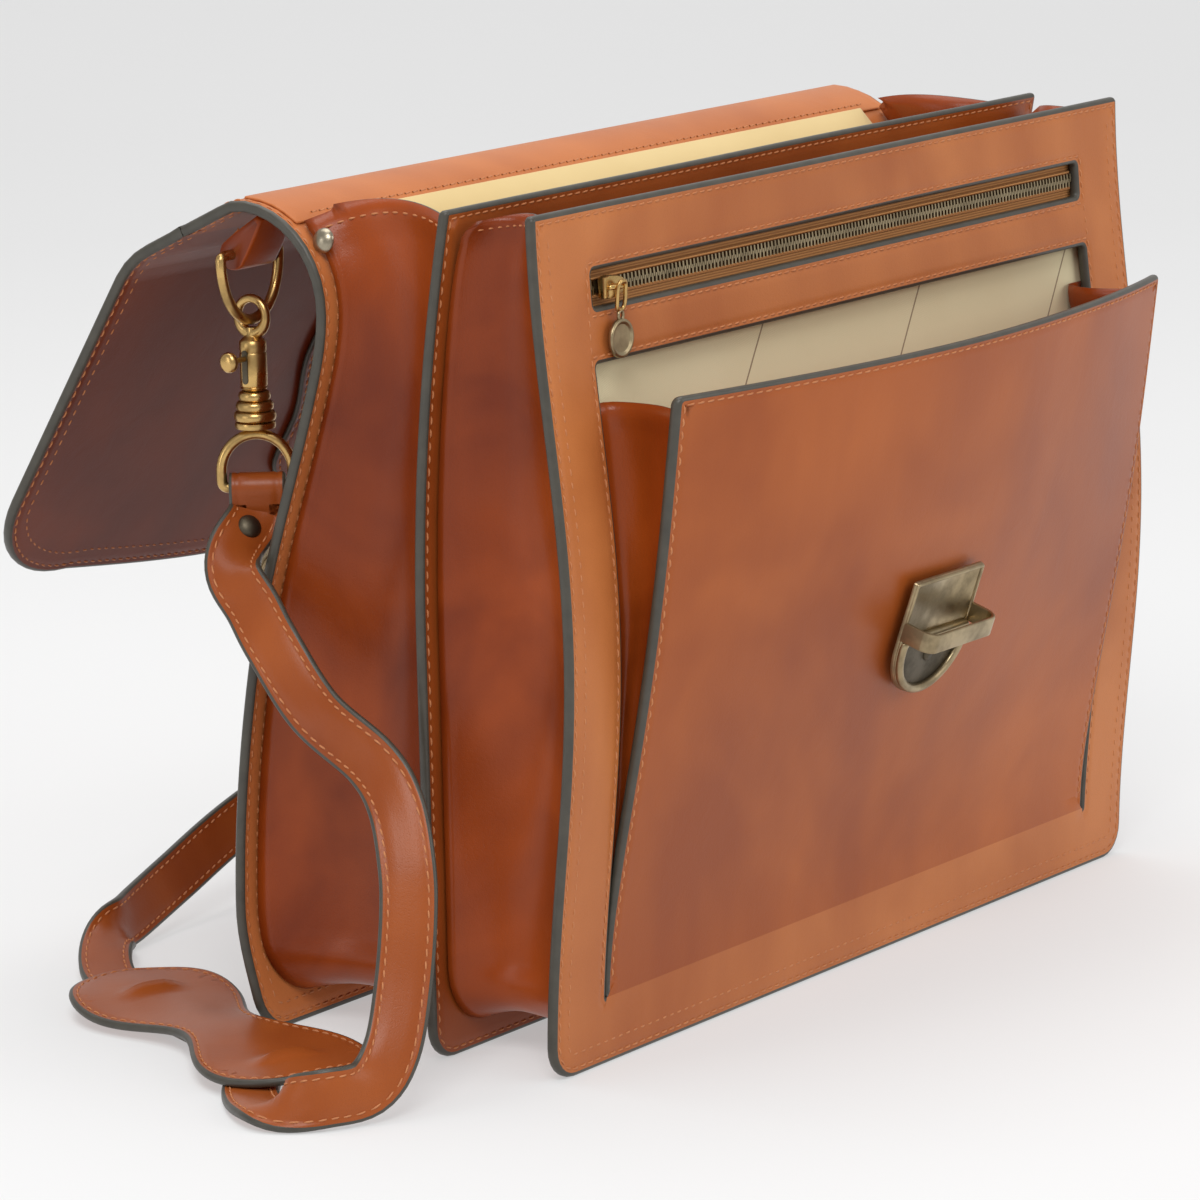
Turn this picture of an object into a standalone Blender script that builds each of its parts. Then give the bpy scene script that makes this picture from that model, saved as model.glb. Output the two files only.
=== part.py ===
"""A leather briefcase: three stiff panels, two folding gussets, a flap with a lock and a shoulder strap.

Metres, +Z up, X across the case, the front towards -Y. The origin is the middle of the foot of the divider.
Every leather piece is cut flat along (u, v) and then bent into place by a function of its own.
"""
import math

import bmesh
import bpy
from mathutils import Euler, Matrix, Vector

# --- sizes of the body
WIDTH = 0.385            # each panel, left to right
HEIGHT = 0.300           # each panel, foot to top edge
FRONT_DEPTH = 0.0513     # divider to front panel, middle of leather to middle of leather
BACK_DEPTH = 0.0745      # divider to back panel, the same
LEATHER = 0.004          # a panel: two hides bonded together
SOFT_LEATHER = 0.002     # gussets and facings
CLOTH = 0.001            # linings
GAP = 0.0004             # between pieces that touch
CORNER = 0.012           # rounded foot corners
FRONT_BULGE = 0.011      # how far the front panel bows out
DIVIDER_LEAN = 0.015     # how far the divider's top leans forward
CURL_START = HEIGHT - 0.038       # height where the back panel begins to roll over
CURL_RADIUS = 0.0345
CURL_ANGLE = math.radians(90)
BEND_STEP = HEIGHT / 15  # spacing of the cuts that let a flat piece bend

# --- gussets
GUSSET_INSET = 0.008     # panel edge to gusset wall
GUSSET_FOLD = 0.013      # how far the wall folds in at its middle
GUSSET_FOOT = 0.011      # floor to gusset bottom
GUSSET_CORNER = 0.022
GUSSET_EDGE = 0.0012     # clearance to the panels it is sewn to
FRONT_GUSSET_DROP = 0.004         # panels' top edge to the gusset's
BACK_GUSSET_DROP = 0.008          # the same where it meets the back panel
GUSSET_CREASES = 46
FLOOR_FOLD = 0.4         # share of the fold that the floor of the case keeps

# --- front pocket, its lining and its zip
SLIT_X = 0.162           # half width of the opening in the front panel
SLIT_FOOT = 0.024        # height where the pocket front folds out of the panel
WINDOW_TOP = HEIGHT - 0.054
POCKET_TOP = WINDOW_TOP - 0.006   # top edge of the pocket front, along the leather
POCKET_LEAN = math.radians(9.0)
POCKET_BOW = 0.022       # how far its middle stands out beyond its sides
POCKET_CORNER = 0.003
BELLOWS_TOP = POCKET_TOP - 0.008
BELLOWS_FOOT = 0.060
POCKET_ROOM = 0.0012     # between the pocket's lining and the case's
POCKET_EDGE = 0.0026     # pocket gusset to the leather it is sewn to
ZIP_X = 0.160            # half width of the zip window
ZIP_Z = HEIGHT - 0.0285
ZIP_HEIGHT = 0.0125
ZIP_TAPE = 0.014         # height of each half of the tape
CHAIN = 0.005            # height of the closed teeth
SLIDER_X = -0.150
SLIDER_SIZE = (0.012, 0.0035, 0.0085)
MEDALLION_RADIUS = 0.0068

# --- lock
LOCK_WIDTH = 0.046
LOCK_HEIGHT = 0.048
LOCK_Z = POCKET_TOP - 0.110       # middle of the lock, height on the pocket front
LOCK_PLATE = 0.0014
LOCK_RIM = 0.0034
RIM_THICK = 0.0026
KEEPER_REACH = 0.0125
KEEPER_HEIGHT = 0.0075
KEEPER_WALL = 0.0016
KEEPER_CORNER = 0.005
KEEPER_Z = 0.0045        # above the middle of the lock
HASP_WIDTH = 0.038
HASP_REACH = 0.022       # beyond the edge of the flap
HASP_PLATE = 0.0015

# --- flap
FLAP_TOP = 0.0550        # hinge to fold
FLAP_SIDE = 0.108        # straight side of the drop
FLAP_DROP = 0.1625       # fold to edge, at the middle
FLAP_CORNER = 0.050      # where the rounded corner ends, in from the side
FLAP_TOP_SLOPE = math.radians(25)
FLAP_DROP_SLOPE = math.radians(58)
HINGE_LIFT = 0.0055      # flap hinge above the middle of the leather
FOLD_GAP = 0.0018
TAB_HALF = 0.054
TAB_NECK = 0.0415

# --- carrying handle on the flap
HANDLE_SPAN = 0.110
HANDLE_RISE = 0.030
HANDLE_RADIUS = 0.0066
LUG_LONG = 0.022
LUG_WIDE = 0.016
LUG_PLATE = 0.0018
LUG_EAR = 0.0022
PIN_DROP = 0.0085
PIN_RADIUS = 0.0016
RING_EYE = 0.0062
HANDLE_STRIP = 0.0055    # half width of the strip that the grip is rolled round
HANDLE_FLAT = 0.0050
HANDLE_HOLE = 0.0031
EYE_WIRE = 0.0014

# --- strap hardware
RING_X = WIDTH / 2 - 0.0155       # middle of each ring, left and right of the centre
RING_BEHIND = 0.0075     # its bar, behind the middle of the roll
RING_Z = CURL_START + 0.0165
RING_WIRE = 0.0019
RING_HALF = 0.0162
RING_DROP = 0.024
CHAPE_WIDTH = 0.026
CHAPE_SLACK = 0.0010     # room for the ring in its loop
HOOK_TOP = RING_Z - 0.0170        # top of the eye, inside the ring's bow
HOOK_EYE = 0.0062
HOOK_WIRE = 0.0016
BARREL_RADIUS = 0.0048
BARREL_TOP = RING_Z - 0.0310
BARREL_FOOT = RING_Z - 0.0490
SWIVEL_RADIUS = 0.0072
SWIVEL_FOOT = RING_Z - 0.0625
TRIGGER_Z = RING_Z - 0.0405
TRIGGER_SLOT = 0.0022    # half height of the slot in the barrel
STRAP_RING_HALF = 0.0125
STRAP_RING_RUN = Vector((0.587, -0.810, 0))       # which way its bar points: the swivel has turned

# --- strap
STRAP_WIDTH = 0.020
STRAP = 0.0034
PAD_LENGTH = 0.165
PAD_WAIST = 0.017
PAD_WIDE = 0.031
PAD_MIDDLE = Vector((-0.212, 0.079))
PAD_TURN = math.atan2(-0.913, -0.408)
PAD_THICK = 0.003
PAD_FLOOR = 0.0046
STRAP_STEP = 0.012
STRAP_FACING = Vector((-0.810, -0.587, 0))       # where the broad side of a standing strap looks


# Routes of the strap's two halves, from each ring to the middle of the pad: a point, and how far the
# strap has turned from lying flat (0) to standing on edge (1).
FRONT_ROUTE = [
    ((-0.1775, 0.0808, 0.1882), 1), ((-0.1812, 0.0800, 0.1838), 1), ((-0.1935, 0.0785, 0.1760), 1),
    ((-0.2035, 0.0715, 0.1685), 1), ((-0.2075, 0.0605, 0.1590), 1), ((-0.212, 0.0490, 0.1480), 1),
    ((-0.215, 0.0290, 0.1270), 1), ((-0.2185, 0.002, 0.1125), 1), ((-0.222, -0.0105, 0.1), 1),
    ((-0.228, -0.019, 0.082), 1), ((-0.233, -0.023, 0.066), 1), ((-0.241, -0.026, 0.043), 1),
    ((-0.251, -0.028, 0.023), 1), ((-0.262, -0.026, 0.0125), 0.95), ((-0.276, -0.018, 0.0108), 0.85),
    ((-0.282, -0.004, 0.0080), 0.5), ((-0.276, 0.010, 0.0040), 0.12), ((-0.262, 0.025, 0.0023), 0),
    ((-0.243, 0.039, 0.0021), 0), ((-0.229, 0.053, 0.0021), 0), ((-0.2124, 0.0782, 0.0021), 0),
]
REAR_ROUTE = [
    ((0.1767, 0.0812, 0.1896), 1), ((0.1755, 0.089, 0.175), 1), ((0.162, 0.128, 0.135), 1),
    ((0.122, 0.162, 0.100), 1), ((0.068, 0.186, 0.071), 1), ((0.012, 0.199, 0.048), 1),
    ((-0.045, 0.203, 0.031), 1), ((-0.088, 0.200, 0.0185), 1), ((-0.120, 0.194, 0.0120), 1),
    ((-0.138, 0.188, 0.0108), 0.9), ((-0.153, 0.180, 0.0085), 0.6), ((-0.166, 0.169, 0.0045), 0.2),
    ((-0.175, 0.156, 0.0023), 0), ((-0.186, 0.135, 0.0021), 0), ((-0.2116, 0.0798, 0.0021), 0),
]

for old in list(bpy.data.objects):
    bpy.data.objects.remove(old, do_unlink=True)
case = bpy.data.collections.new("leather_briefcase")
cutters = bpy.data.collections.new("cutters")
bpy.context.scene.collection.children.link(case)
bpy.context.scene.collection.children.link(cutters)


# ------------------------------------------------------------------ materials
def finish(name, colour, roughness, metallic=0.0):
    material = bpy.data.materials.new(name)
    material.use_nodes = True
    shader = material.node_tree.nodes["Principled BSDF"]
    shader.inputs["Base Color"].default_value = (*colour, 1)
    shader.inputs["Roughness"].default_value = roughness
    shader.inputs["Metallic"].default_value = metallic
    return material


TAN = finish("tan_leather", (0.50, 0.155, 0.050), 0.35)
TAN_SOFT = finish("soft_tan_leather", (0.44, 0.120, 0.036), 0.32)
CREAM = finish("cream_lining", (0.78, 0.66, 0.38), 0.9)
TAPE = finish("zip_tape", (0.42, 0.19, 0.055), 0.85)
BRASS = finish("antique_brass", (0.36, 0.27, 0.13), 0.35, 1.0)
STEEL = finish("domed_rivet_metal", (0.42, 0.39, 0.32), 0.3, 1.0)


# ------------------------------------------------------------------ ways of making a piece
def keep(piece, material, smooth_below=35):
    """Put a finished mesh object in the case's collection with its material."""
    for home in list(piece.users_collection):
        home.objects.unlink(piece)
    case.objects.link(piece)
    piece.data.materials.clear()
    piece.data.materials.append(material)
    piece.data.shade_smooth()
    piece.data.set_sharp_from_angle(angle=math.radians(smooth_below))
    return piece


def face_outwards(shape):
    """Turn a closed mesh's faces outwards."""
    bmesh.ops.recalc_face_normals(shape, faces=shape.faces)
    if shape.calc_volume(signed=True) < 0:
        bmesh.ops.reverse_faces(shape, faces=shape.faces)


def as_mesh(curve_object, weld=0.00001):
    """Turn a curve object into a mesh object with its caps welded on."""
    bpy.context.view_layer.update()
    graph = bpy.context.evaluated_depsgraph_get()
    mesh = bpy.data.meshes.new_from_object(curve_object.evaluated_get(graph))
    shape = bmesh.new()
    shape.from_mesh(mesh)
    bmesh.ops.remove_doubles(shape, verts=shape.verts, dist=weld)
    face_outwards(shape)
    shape.to_mesh(mesh)
    shape.free()
    solid = bpy.data.objects.new(curve_object.name + "_solid", mesh)
    solid.matrix_world = curve_object.matrix_world
    name = curve_object.name
    bpy.data.objects.remove(curve_object, do_unlink=True)
    solid.name = name
    case.objects.link(solid)
    return solid


def flat_curve(name, outlines, thickness):
    """A flat piece in the XY plane, centred on it; every outline after the first is a hole."""
    curve = bpy.data.curves.new(name, "CURVE")
    curve.dimensions = "2D"
    curve.fill_mode = "BOTH"
    curve.extrude = thickness / 2
    for outline in outlines:
        line = curve.splines.new("POLY")
        line.points.add(len(outline) - 1)
        for point, (u, v) in zip(line.points, outline):
            point.co = (u, v, 0, 1)
        line.use_cyclic_u = True
    piece = bpy.data.objects.new(name, curve)
    case.objects.link(piece)
    return as_mesh(piece)


def bend(piece, place, rows=(), columns=()):
    """Cut a flat piece across at the given v and u, then put each of its points where place(u, v, t) says."""
    shape = bmesh.new()
    shape.from_mesh(piece.data)
    for axis, levels in ((1, rows), (0, columns)):
        direction = Vector((0, 1, 0)) if axis else Vector((1, 0, 0))
        for level in levels:
            bmesh.ops.bisect_plane(
                shape, geom=shape.verts[:] + shape.edges[:] + shape.faces[:], dist=0.000001,
                plane_co=direction * level, plane_no=direction)
    bmesh.ops.triangulate(shape, faces=shape.faces)
    for vert in shape.verts:
        vert.co = place(*vert.co)
    face_outwards(shape)
    shape.to_mesh(piece.data)
    shape.free()
    return piece


def steps(low, high, step=BEND_STEP):
    """Multiples of the step strictly between two values, the same ones for every piece."""
    first = math.floor(low / step) + 1
    last = math.ceil(high / step) - 1
    return [step * n for n in range(first, last + 1)]


def sheet(name, place, across, along, thickness, material):
    """A grid of points place(a, b), a and b from 0 to 1, thickened evenly both ways."""
    shape = bmesh.new()
    bmesh.ops.create_grid(shape, x_segments=across, y_segments=along, size=1)
    for vert in shape.verts:
        vert.co = place((vert.co.x + 1) / 2, (vert.co.y + 1) / 2)
    bmesh.ops.recalc_face_normals(shape, faces=shape.faces)
    mesh = bpy.data.meshes.new(name)
    shape.to_mesh(mesh)
    shape.free()
    piece = bpy.data.objects.new(name, mesh)
    wall = piece.modifiers.new("thickness", "SOLIDIFY")
    wall.thickness = thickness
    wall.offset = 0
    wall.use_even_offset = True
    return keep(piece, material)


def wire(name, points, radius, material, closed=False, sides=3):
    """A round wire through the points."""
    curve = bpy.data.curves.new(name, "CURVE")
    curve.dimensions = "3D"
    curve.bevel_depth = radius
    curve.bevel_resolution = sides
    curve.use_fill_caps = not closed
    line = curve.splines.new("POLY")
    line.points.add(len(points) - 1)
    for point, place in zip(line.points, points):
        point.co = (*place, 1)
    line.use_cyclic_u = closed
    piece = bpy.data.objects.new(name, curve)
    case.objects.link(piece)
    return keep(as_mesh(piece), material)


def turned(name, profile, material, matrix, segments=20):
    """A profile of (radius, height) turned about its own Z axis, top to bottom down the outside."""
    mesh = bpy.data.meshes.new(name)
    points = [(r, 0, z) for r, z in profile]
    mesh.from_pydata(points, [(n, n + 1) for n in range(len(points) - 1)], [])
    piece = bpy.data.objects.new(name, mesh)
    screw = piece.modifiers.new("turn", "SCREW")
    screw.steps = screw.render_steps = segments
    screw.use_merge_vertices = True
    screw.merge_threshold = 0.00001
    piece.matrix_world = matrix
    return keep(piece, material)


def rounded(corners, radii, segments=4):
    """A closed outline with each corner rounded by its own radius."""
    outline = []
    count = len(corners)
    for n, (corner, radius) in enumerate(zip(corners, radii)):
        here = Vector(corner)
        before = (Vector(corners[n - 1]) - here).normalized()
        after = (Vector(corners[(n + 1) % count]) - here).normalized()
        if radius <= 0:
            outline.append(tuple(here))
            continue
        half = before.angle(after) / 2
        middle = here + (before + after).normalized() * radius / math.sin(half)
        start = here + before * radius / math.tan(half) - middle
        end = here + after * radius / math.tan(half) - middle
        turn = start.angle_signed(end)
        for k in range(segments + 1):
            spoke = Matrix.Rotation(-turn * k / segments, 2) @ start
            outline.append(tuple(middle + spoke))
    return outline


def rectangle(left, foot, right, top, foot_radius=0.0, top_radius=0.0):
    return rounded([(left, foot), (right, foot), (right, top), (left, top)],
                   [foot_radius, foot_radius, top_radius, top_radius])


def smooth_line(knots, t):
    """A cubic through (t, value) knots, level at the last one."""
    last = len(knots) - 1
    n = max(k for k in range(last) if knots[k][0] <= t or k == 0)
    (t0, a), (t1, b) = knots[n], knots[n + 1]

    def slope(k):
        if k == last:
            return 0.0
        low, high = max(k - 1, 0), min(k + 1, last)
        return (knots[high][1] - knots[low][1]) / (knots[high][0] - knots[low][0])
    span = t1 - t0
    s = (t - t0) / span
    return ((2 * s ** 3 - 3 * s ** 2 + 1) * a + (s ** 3 - 2 * s ** 2 + s) * span * slope(n)
            + (3 * s ** 2 - 2 * s ** 3) * b + (s ** 3 - s ** 2) * span * slope(n + 1))


def add(piece, other, operation="UNION"):
    """Join or cut a mesh with another, which goes with the cutters."""
    tool = piece.modifiers.new(operation.lower(), "BOOLEAN")
    tool.operation = operation
    tool.object = other
    for home in list(other.users_collection):
        home.objects.unlink(other)
    cutters.objects.link(other)
    other.hide_render = True
    other.display_type = "WIRE"
    return piece


# ------------------------------------------------------------------ where each wall of the case stands
def front_y(z):
    return -FRONT_DEPTH - FRONT_BULGE * math.sin(math.pi * min(max(z / HEIGHT, 0), 1)) ** 2


def divider_y(z):
    half = HEIGHT / 2
    return -DIVIDER_LEAN * max(0.0, (z - half) / half) ** 2


BACK_KNOTS = [(0.0, BACK_DEPTH), (0.15 * HEIGHT, BACK_DEPTH + 0.0095), (0.48 * HEIGHT, BACK_DEPTH - 0.0025),
              (0.80 * HEIGHT, BACK_DEPTH - 0.0320), (CURL_START, BACK_DEPTH - 0.0355)]
CURL_Y = BACK_KNOTS[-1][1] + CURL_RADIUS      # middle of the roll


def back_y(z):
    """Height to Y on the side of the back panel that faces forward."""
    if z <= CURL_START:
        return smooth_line(BACK_KNOTS, z)
    rise = min(z - CURL_START, CURL_RADIUS)
    return CURL_Y - math.sqrt(CURL_RADIUS ** 2 - rise ** 2)


def back_place(v):
    """Distance up the back panel's leather to its (y, z) and the direction it faces, forward and up."""
    if v <= CURL_START:
        slope = (back_y(v + 0.0005) - back_y(v - 0.0005)) / 0.001 if v > 0.001 else 0.0
        facing = Vector((-1, slope)).normalized()
        return Vector((back_y(v), v)), facing
    angle = (v - CURL_START) / CURL_RADIUS
    facing = Vector((-math.cos(angle), math.sin(angle)))
    return Vector((CURL_Y, CURL_START)) + facing * CURL_RADIUS, facing


def walled(y_of, forward):
    """Bend a flat piece onto an upright wall; forward is how far in front of the wall's middle it lies."""
    return lambda u, v, t: Vector((u, y_of(v) - forward - t, v))


CURL_LENGTH = CURL_RADIUS * CURL_ANGLE
BACK_TOP = CURL_START + CURL_LENGTH


def on_back(forward):
    """The same for the back panel, whose leather rolls over at the top."""
    def place(u, v, t):
        middle, facing = back_place(v)
        spot = middle + facing * (forward + t)
        return Vector((u, spot.x, spot.y))
    return place


UP_STEPS = steps(0, CURL_START)
CURL_STEPS = [CURL_START + CURL_LENGTH * n / 9 for n in range(10)]
DIVIDER_STEPS = UP_STEPS + [HEIGHT / 2 + 0.1 * HEIGHT * n for n in range(1, 5)]
HALF = WIDTH / 2
LINING_HALF = HALF - GUSSET_INSET - GUSSET_FOLD


# ------------------------------------------------------------------ the three panels
divider = flat_curve("divider_panel", [rectangle(-HALF, 0, HALF, HEIGHT, CORNER)], LEATHER)
keep(bend(divider, walled(divider_y, 0), DIVIDER_STEPS), TAN)

windows = [
    rectangle(-ZIP_X, ZIP_Z - ZIP_HEIGHT / 2, ZIP_X, ZIP_Z + ZIP_HEIGHT / 2, 0.0015, 0.0015),
    rectangle(-SLIT_X, SLIT_FOOT, SLIT_X, WINDOW_TOP, 0.0, 0.0015),
]
front = flat_curve("front_panel", [rectangle(-HALF, 0, HALF, HEIGHT, CORNER)] + windows, LEATHER)
keep(bend(front, walled(front_y, 0), UP_STEPS), TAN)

back = flat_curve("back_panel", [rectangle(-HALF, 0, HALF, BACK_TOP, CORNER)], LEATHER)
keep(bend(back, on_back(0), UP_STEPS + CURL_STEPS), TAN)


# ------------------------------------------------------------------ linings, each glued to its panel
FACING_FOOT = HEIGHT - 0.017      # lower edge of the leather facing, measured up the back panel
LINING_FOOT = 0.020
LINING_CORNER = 0.016
LINING_EASE = 0.0006     # room where the back panel bends between two cuts
LINING_DROP = 0.014      # top edge of the panel to the top edge of its lining
TAPE_THICK = 0.0008
skin = LEATHER / 2 + GAP


def lining(name, top, place, rows):
    """A cloth panel with rounded feet, narrower than the case by the folds of its gussets."""
    cut = rectangle(-LINING_HALF, LINING_FOOT, LINING_HALF, top, LINING_CORNER)
    keep(bend(flat_curve(name, [cut], CLOTH), place, rows), CREAM)


lining("back_lining", FACING_FOOT - GAP, on_back(skin + LINING_EASE + CLOTH / 2), UP_STEPS + CURL_STEPS)
facing = flat_curve("back_facing", [rectangle(-LINING_HALF, FACING_FOOT, LINING_HALF, BACK_TOP)], SOFT_LEATHER)
keep(bend(facing, on_back(skin + SOFT_LEATHER / 2), UP_STEPS + CURL_STEPS), TAN_SOFT)
for side, name in ((1, "divider_lining_front"), (-1, "divider_lining_back")):
    lining(name, HEIGHT - LINING_DROP - 0.004, walled(divider_y, side * (skin + CLOTH / 2)), DIVIDER_STEPS)
behind = -(skin + TAPE_THICK + GAP + CLOTH / 2)
lining("pocket_lining", HEIGHT - LINING_DROP, walled(front_y, behind), UP_STEPS)
lining("front_lining", HEIGHT - LINING_DROP, walled(front_y, behind - CLOTH - POCKET_ROOM), UP_STEPS)


# ------------------------------------------------------------------ gussets
def gusset(name, front_wall, back_wall, top_front, top_back):
    """A strip that runs down one side, under and up the other, folded in along its middle."""
    side = HALF - GUSSET_INSET
    turn = GUSSET_CORNER * math.pi / 2
    level = 2 * (side - GUSSET_CORNER)
    creases = GUSSET_CREASES

    def along(upright, n):
        """Distance to the nth crease; they are closer together at the mouth and round the corners."""
        if n > creases / 2:
            return 2 * (upright + turn) + level - along(upright, creases - n)
        if n < 14:
            return upright * (n / 14) ** 1.5
        if n < 20:
            return upright + turn * (n - 14) / 6
        return upright + turn + level / 2 * (n - 20) / 3

    def place(a, b):
        top = top_front + (top_back - top_front) * a
        upright = top - GUSSET_FOOT - GUSSET_CORNER
        s = along(upright, round(b * creases))
        fold = GUSSET_FOLD * math.sin(math.pi * a)
        if s <= upright or s >= upright + 2 * turn + level:
            left = s <= upright
            spot = Vector((-side, 0, top - s)) if left else Vector(
                (side, 0, GUSSET_FOOT + GUSSET_CORNER + s - upright - 2 * turn - level))
            inward = Vector((1 if left else -1, 0, 0))
        elif upright + turn <= s <= upright + turn + level:
            spot = Vector((-side + GUSSET_CORNER + s - upright - turn, 0, GUSSET_FOOT))
            inward = Vector((0, 0, FLOOR_FOLD))
        else:
            left = s < upright + turn
            round_corner = s - upright if left else upright + 2 * turn + level - s
            angle = round_corner / GUSSET_CORNER
            inward = Vector((math.cos(angle) * (1 if left else -1), 0, math.sin(angle)))
            centre = Vector((-(side - GUSSET_CORNER) * (1 if left else -1), 0, GUSSET_FOOT + GUSSET_CORNER))
            spot = centre - inward * GUSSET_CORNER
            inward.z *= FLOOR_FOLD
        spot += inward * fold
        low = front_wall(spot.z) + LEATHER / 2 + GUSSET_EDGE
        rise = max(spot.z - CURL_START, 0) / CURL_RADIUS
        high = back_wall(spot.z) - (LEATHER / 2 + GUSSET_EDGE) / math.sqrt(1 - min(rise, 0.95) ** 2)
        return Vector((spot.x, low + (high - low) * a, spot.z))
    return sheet(name, place, 8, creases, SOFT_LEATHER, TAN_SOFT)


gusset_top = HEIGHT - FRONT_GUSSET_DROP
gusset("front_gusset", front_y, divider_y, gusset_top, gusset_top)
gusset("back_gusset", divider_y, back_y, gusset_top, HEIGHT - BACK_GUSSET_DROP)

RIVET_RADIUS = 0.0044
DOME = [(0.0, 0.0022), (0.0022, 0.0018), (0.0038, 0.0009), (RIVET_RADIUS, 0.0), (RIVET_RADIUS, -0.0004),
        (0.0, -0.0004)]
RIVET_Z = HEIGHT - 0.014
RIVET_Y = back_y(RIVET_Z) - LEATHER / 2 - RIVET_RADIUS - 0.0018
for side, name in ((-1, "left"), (1, "right")):
    wall = HALF - GUSSET_INSET + SOFT_LEATHER / 2 + 0.0012
    turned("gusset_rivet_" + name, DOME, STEEL,
           Matrix.Translation((side * wall, RIVET_Y, RIVET_Z))
           @ Euler((math.radians(-12), side * math.radians(90), 0)).to_matrix().to_4x4())


# ------------------------------------------------------------------ front pocket
def pocket_place(forward):
    """Bend onto the pocket front, which leans out from its foot and bows out towards its middle."""
    def place(u, v, t):
        up = v - SLIT_FOOT
        rise = min(max(up / (POCKET_TOP - SLIT_FOOT), 0), 1)
        across = 1 - min(abs(u) / SLIT_X, 1) ** 2
        swell = POCKET_BOW * across * math.sin(rise * math.pi / 2) ** 2
        out = math.sin(POCKET_LEAN) * up + (front_y(SLIT_FOOT) - front_y(v)) * 0.45 + swell
        return Vector((u, front_y(SLIT_FOOT) - out - forward - t,
                       SLIT_FOOT + math.cos(POCKET_LEAN) * up))
    return place


POCKET_COLUMNS = [SLIT_X * n / 6 for n in range(-5, 6)]
pocket_side = SLIT_X - GAP
front_piece = rectangle(-pocket_side, SLIT_FOOT + 2 * GAP, pocket_side, POCKET_TOP, 0, POCKET_CORNER)
pocket = flat_curve("pocket_front", [front_piece], LEATHER)
keep(bend(pocket, pocket_place(0), UP_STEPS, POCKET_COLUMNS), TAN)

for side, name in ((-1, "left"), (1, "right")):
    def bellows(a, b, side=side):
        z = BELLOWS_FOOT + (BELLOWS_TOP - BELLOWS_FOOT) * b
        u = side * (SLIT_X - 0.0075 - 0.007 * math.sin(math.pi * a) * b)
        up = SLIT_FOOT + (z - SLIT_FOOT) / math.cos(POCKET_LEAN)
        fore = pocket_place(0)(u, up, 0).y + LEATHER / 2 + POCKET_EDGE
        rear = max(front_y(z), fore + 0.001)
        return Vector((u, fore + (rear - fore) * a, z))
    sheet("pocket_gusset_" + name, bellows, 4, 12, 0.0012, TAN_SOFT)


# ------------------------------------------------------------------ zip
def zip_strip(name, foot, top, forward, thickness, material):
    strip = flat_curve(name, [rectangle(-ZIP_X - 0.004, foot, ZIP_X + 0.004, top)], thickness)
    return keep(bend(strip, walled(front_y, forward), steps(foot, top)), material)


tape_forward = -(skin + TAPE_THICK / 2)
CHAIN_THICK = 0.0018
chain_forward = -LEATHER / 2 + 0.0010
zip_strip("zip_tape_upper", ZIP_Z + GAP / 2, ZIP_Z + ZIP_TAPE, tape_forward, TAPE_THICK, TAPE)
zip_strip("zip_tape_lower", ZIP_Z - ZIP_TAPE, ZIP_Z - GAP / 2, tape_forward, TAPE_THICK, TAPE)
teeth = rectangle(-ZIP_X + GAP, ZIP_Z - CHAIN / 2, ZIP_X - GAP, ZIP_Z + CHAIN / 2)
chain = flat_curve("zip_chain", [teeth], CHAIN_THICK)
keep(bend(chain, walled(front_y, chain_forward), steps(ZIP_Z - CHAIN / 2, ZIP_Z + CHAIN / 2)), BRASS)

slider_y = front_y(ZIP_Z) - chain_forward - CHAIN_THICK / 2 - GAP - SLIDER_SIZE[1] / 2


def block(name, size, place, material, bevel=0.0):
    """A box of the given size with its edges rounded."""
    bpy.ops.mesh.primitive_cube_add(size=1)
    piece = bpy.context.object
    piece.name = name
    piece.data.transform(Matrix.Diagonal((*size, 1)))
    piece.matrix_world = place
    if bevel:
        edge = piece.modifiers.new("edges", "BEVEL")
        edge.width = bevel
        edge.segments = 2
    return keep(piece, material)


block("zip_slider", SLIDER_SIZE, Matrix.Translation((SLIDER_X, slider_y, ZIP_Z)), BRASS, 0.0012)
PULL_TOP = ZIP_Z + 0.002
pull_y = slider_y - SLIDER_SIZE[1] / 2 - 0.0016
link_half, link_drop, link_wire = 0.0024, 0.0100, 0.0007
link = []
for n in range(16):
    angle = math.tau * n / 16
    fore = 0.0014 * (0.5 + 0.5 * math.cos(angle))
    link.append((SLIDER_X + link_half * math.sin(angle), pull_y - fore,
                 PULL_TOP - link_drop / 2 + link_drop / 2 * math.cos(angle)))
wire("zip_pull_link", link, link_wire, BRASS, closed=True)
medal_z = PULL_TOP - link_drop - MEDALLION_RADIUS - link_wire - 0.0022
medal_y = front_y(medal_z) - LEATHER / 2 - 0.0022
coin = [(0, 0.0008), (MEDALLION_RADIUS - 0.0006, 0.0008), (MEDALLION_RADIUS, 0.0004)]
coin += [(r, -z) for r, z in reversed(coin)]
turned("zip_medallion", coin, BRASS,
       Matrix.Translation((SLIDER_X, medal_y, medal_z)) @ Matrix.Rotation(math.pi / 2, 4, "X"), 24)


# ------------------------------------------------------------------ lock
def d_outline(half, top, foot, shoulder):
    """Straight sides that end in half an ellipse at the foot."""
    arc = [(half * math.cos(a), shoulder - (shoulder - foot) * math.sin(a))
           for a in [math.pi * n / 14 for n in range(15)]]
    return [(-half, top), *reversed(arc), (half, top)]


lock_home = pocket_place(0)(0, LOCK_Z, 0)
above, below = pocket_place(0)(0, LOCK_Z + 0.02, 0), pocket_place(0)(0, LOCK_Z - 0.02, 0)
lock_lean = math.atan2(below.y - above.y, above.z - below.z)


def on_lock(u, v, out):
    """Local across, up and out of the lock's face to a place on the case."""
    out += LEATHER / 2 + 2 * GAP
    return lock_home + Vector((u, -out * math.cos(lock_lean) - v * math.sin(lock_lean),
                               v * math.cos(lock_lean) - out * math.sin(lock_lean)))


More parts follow.
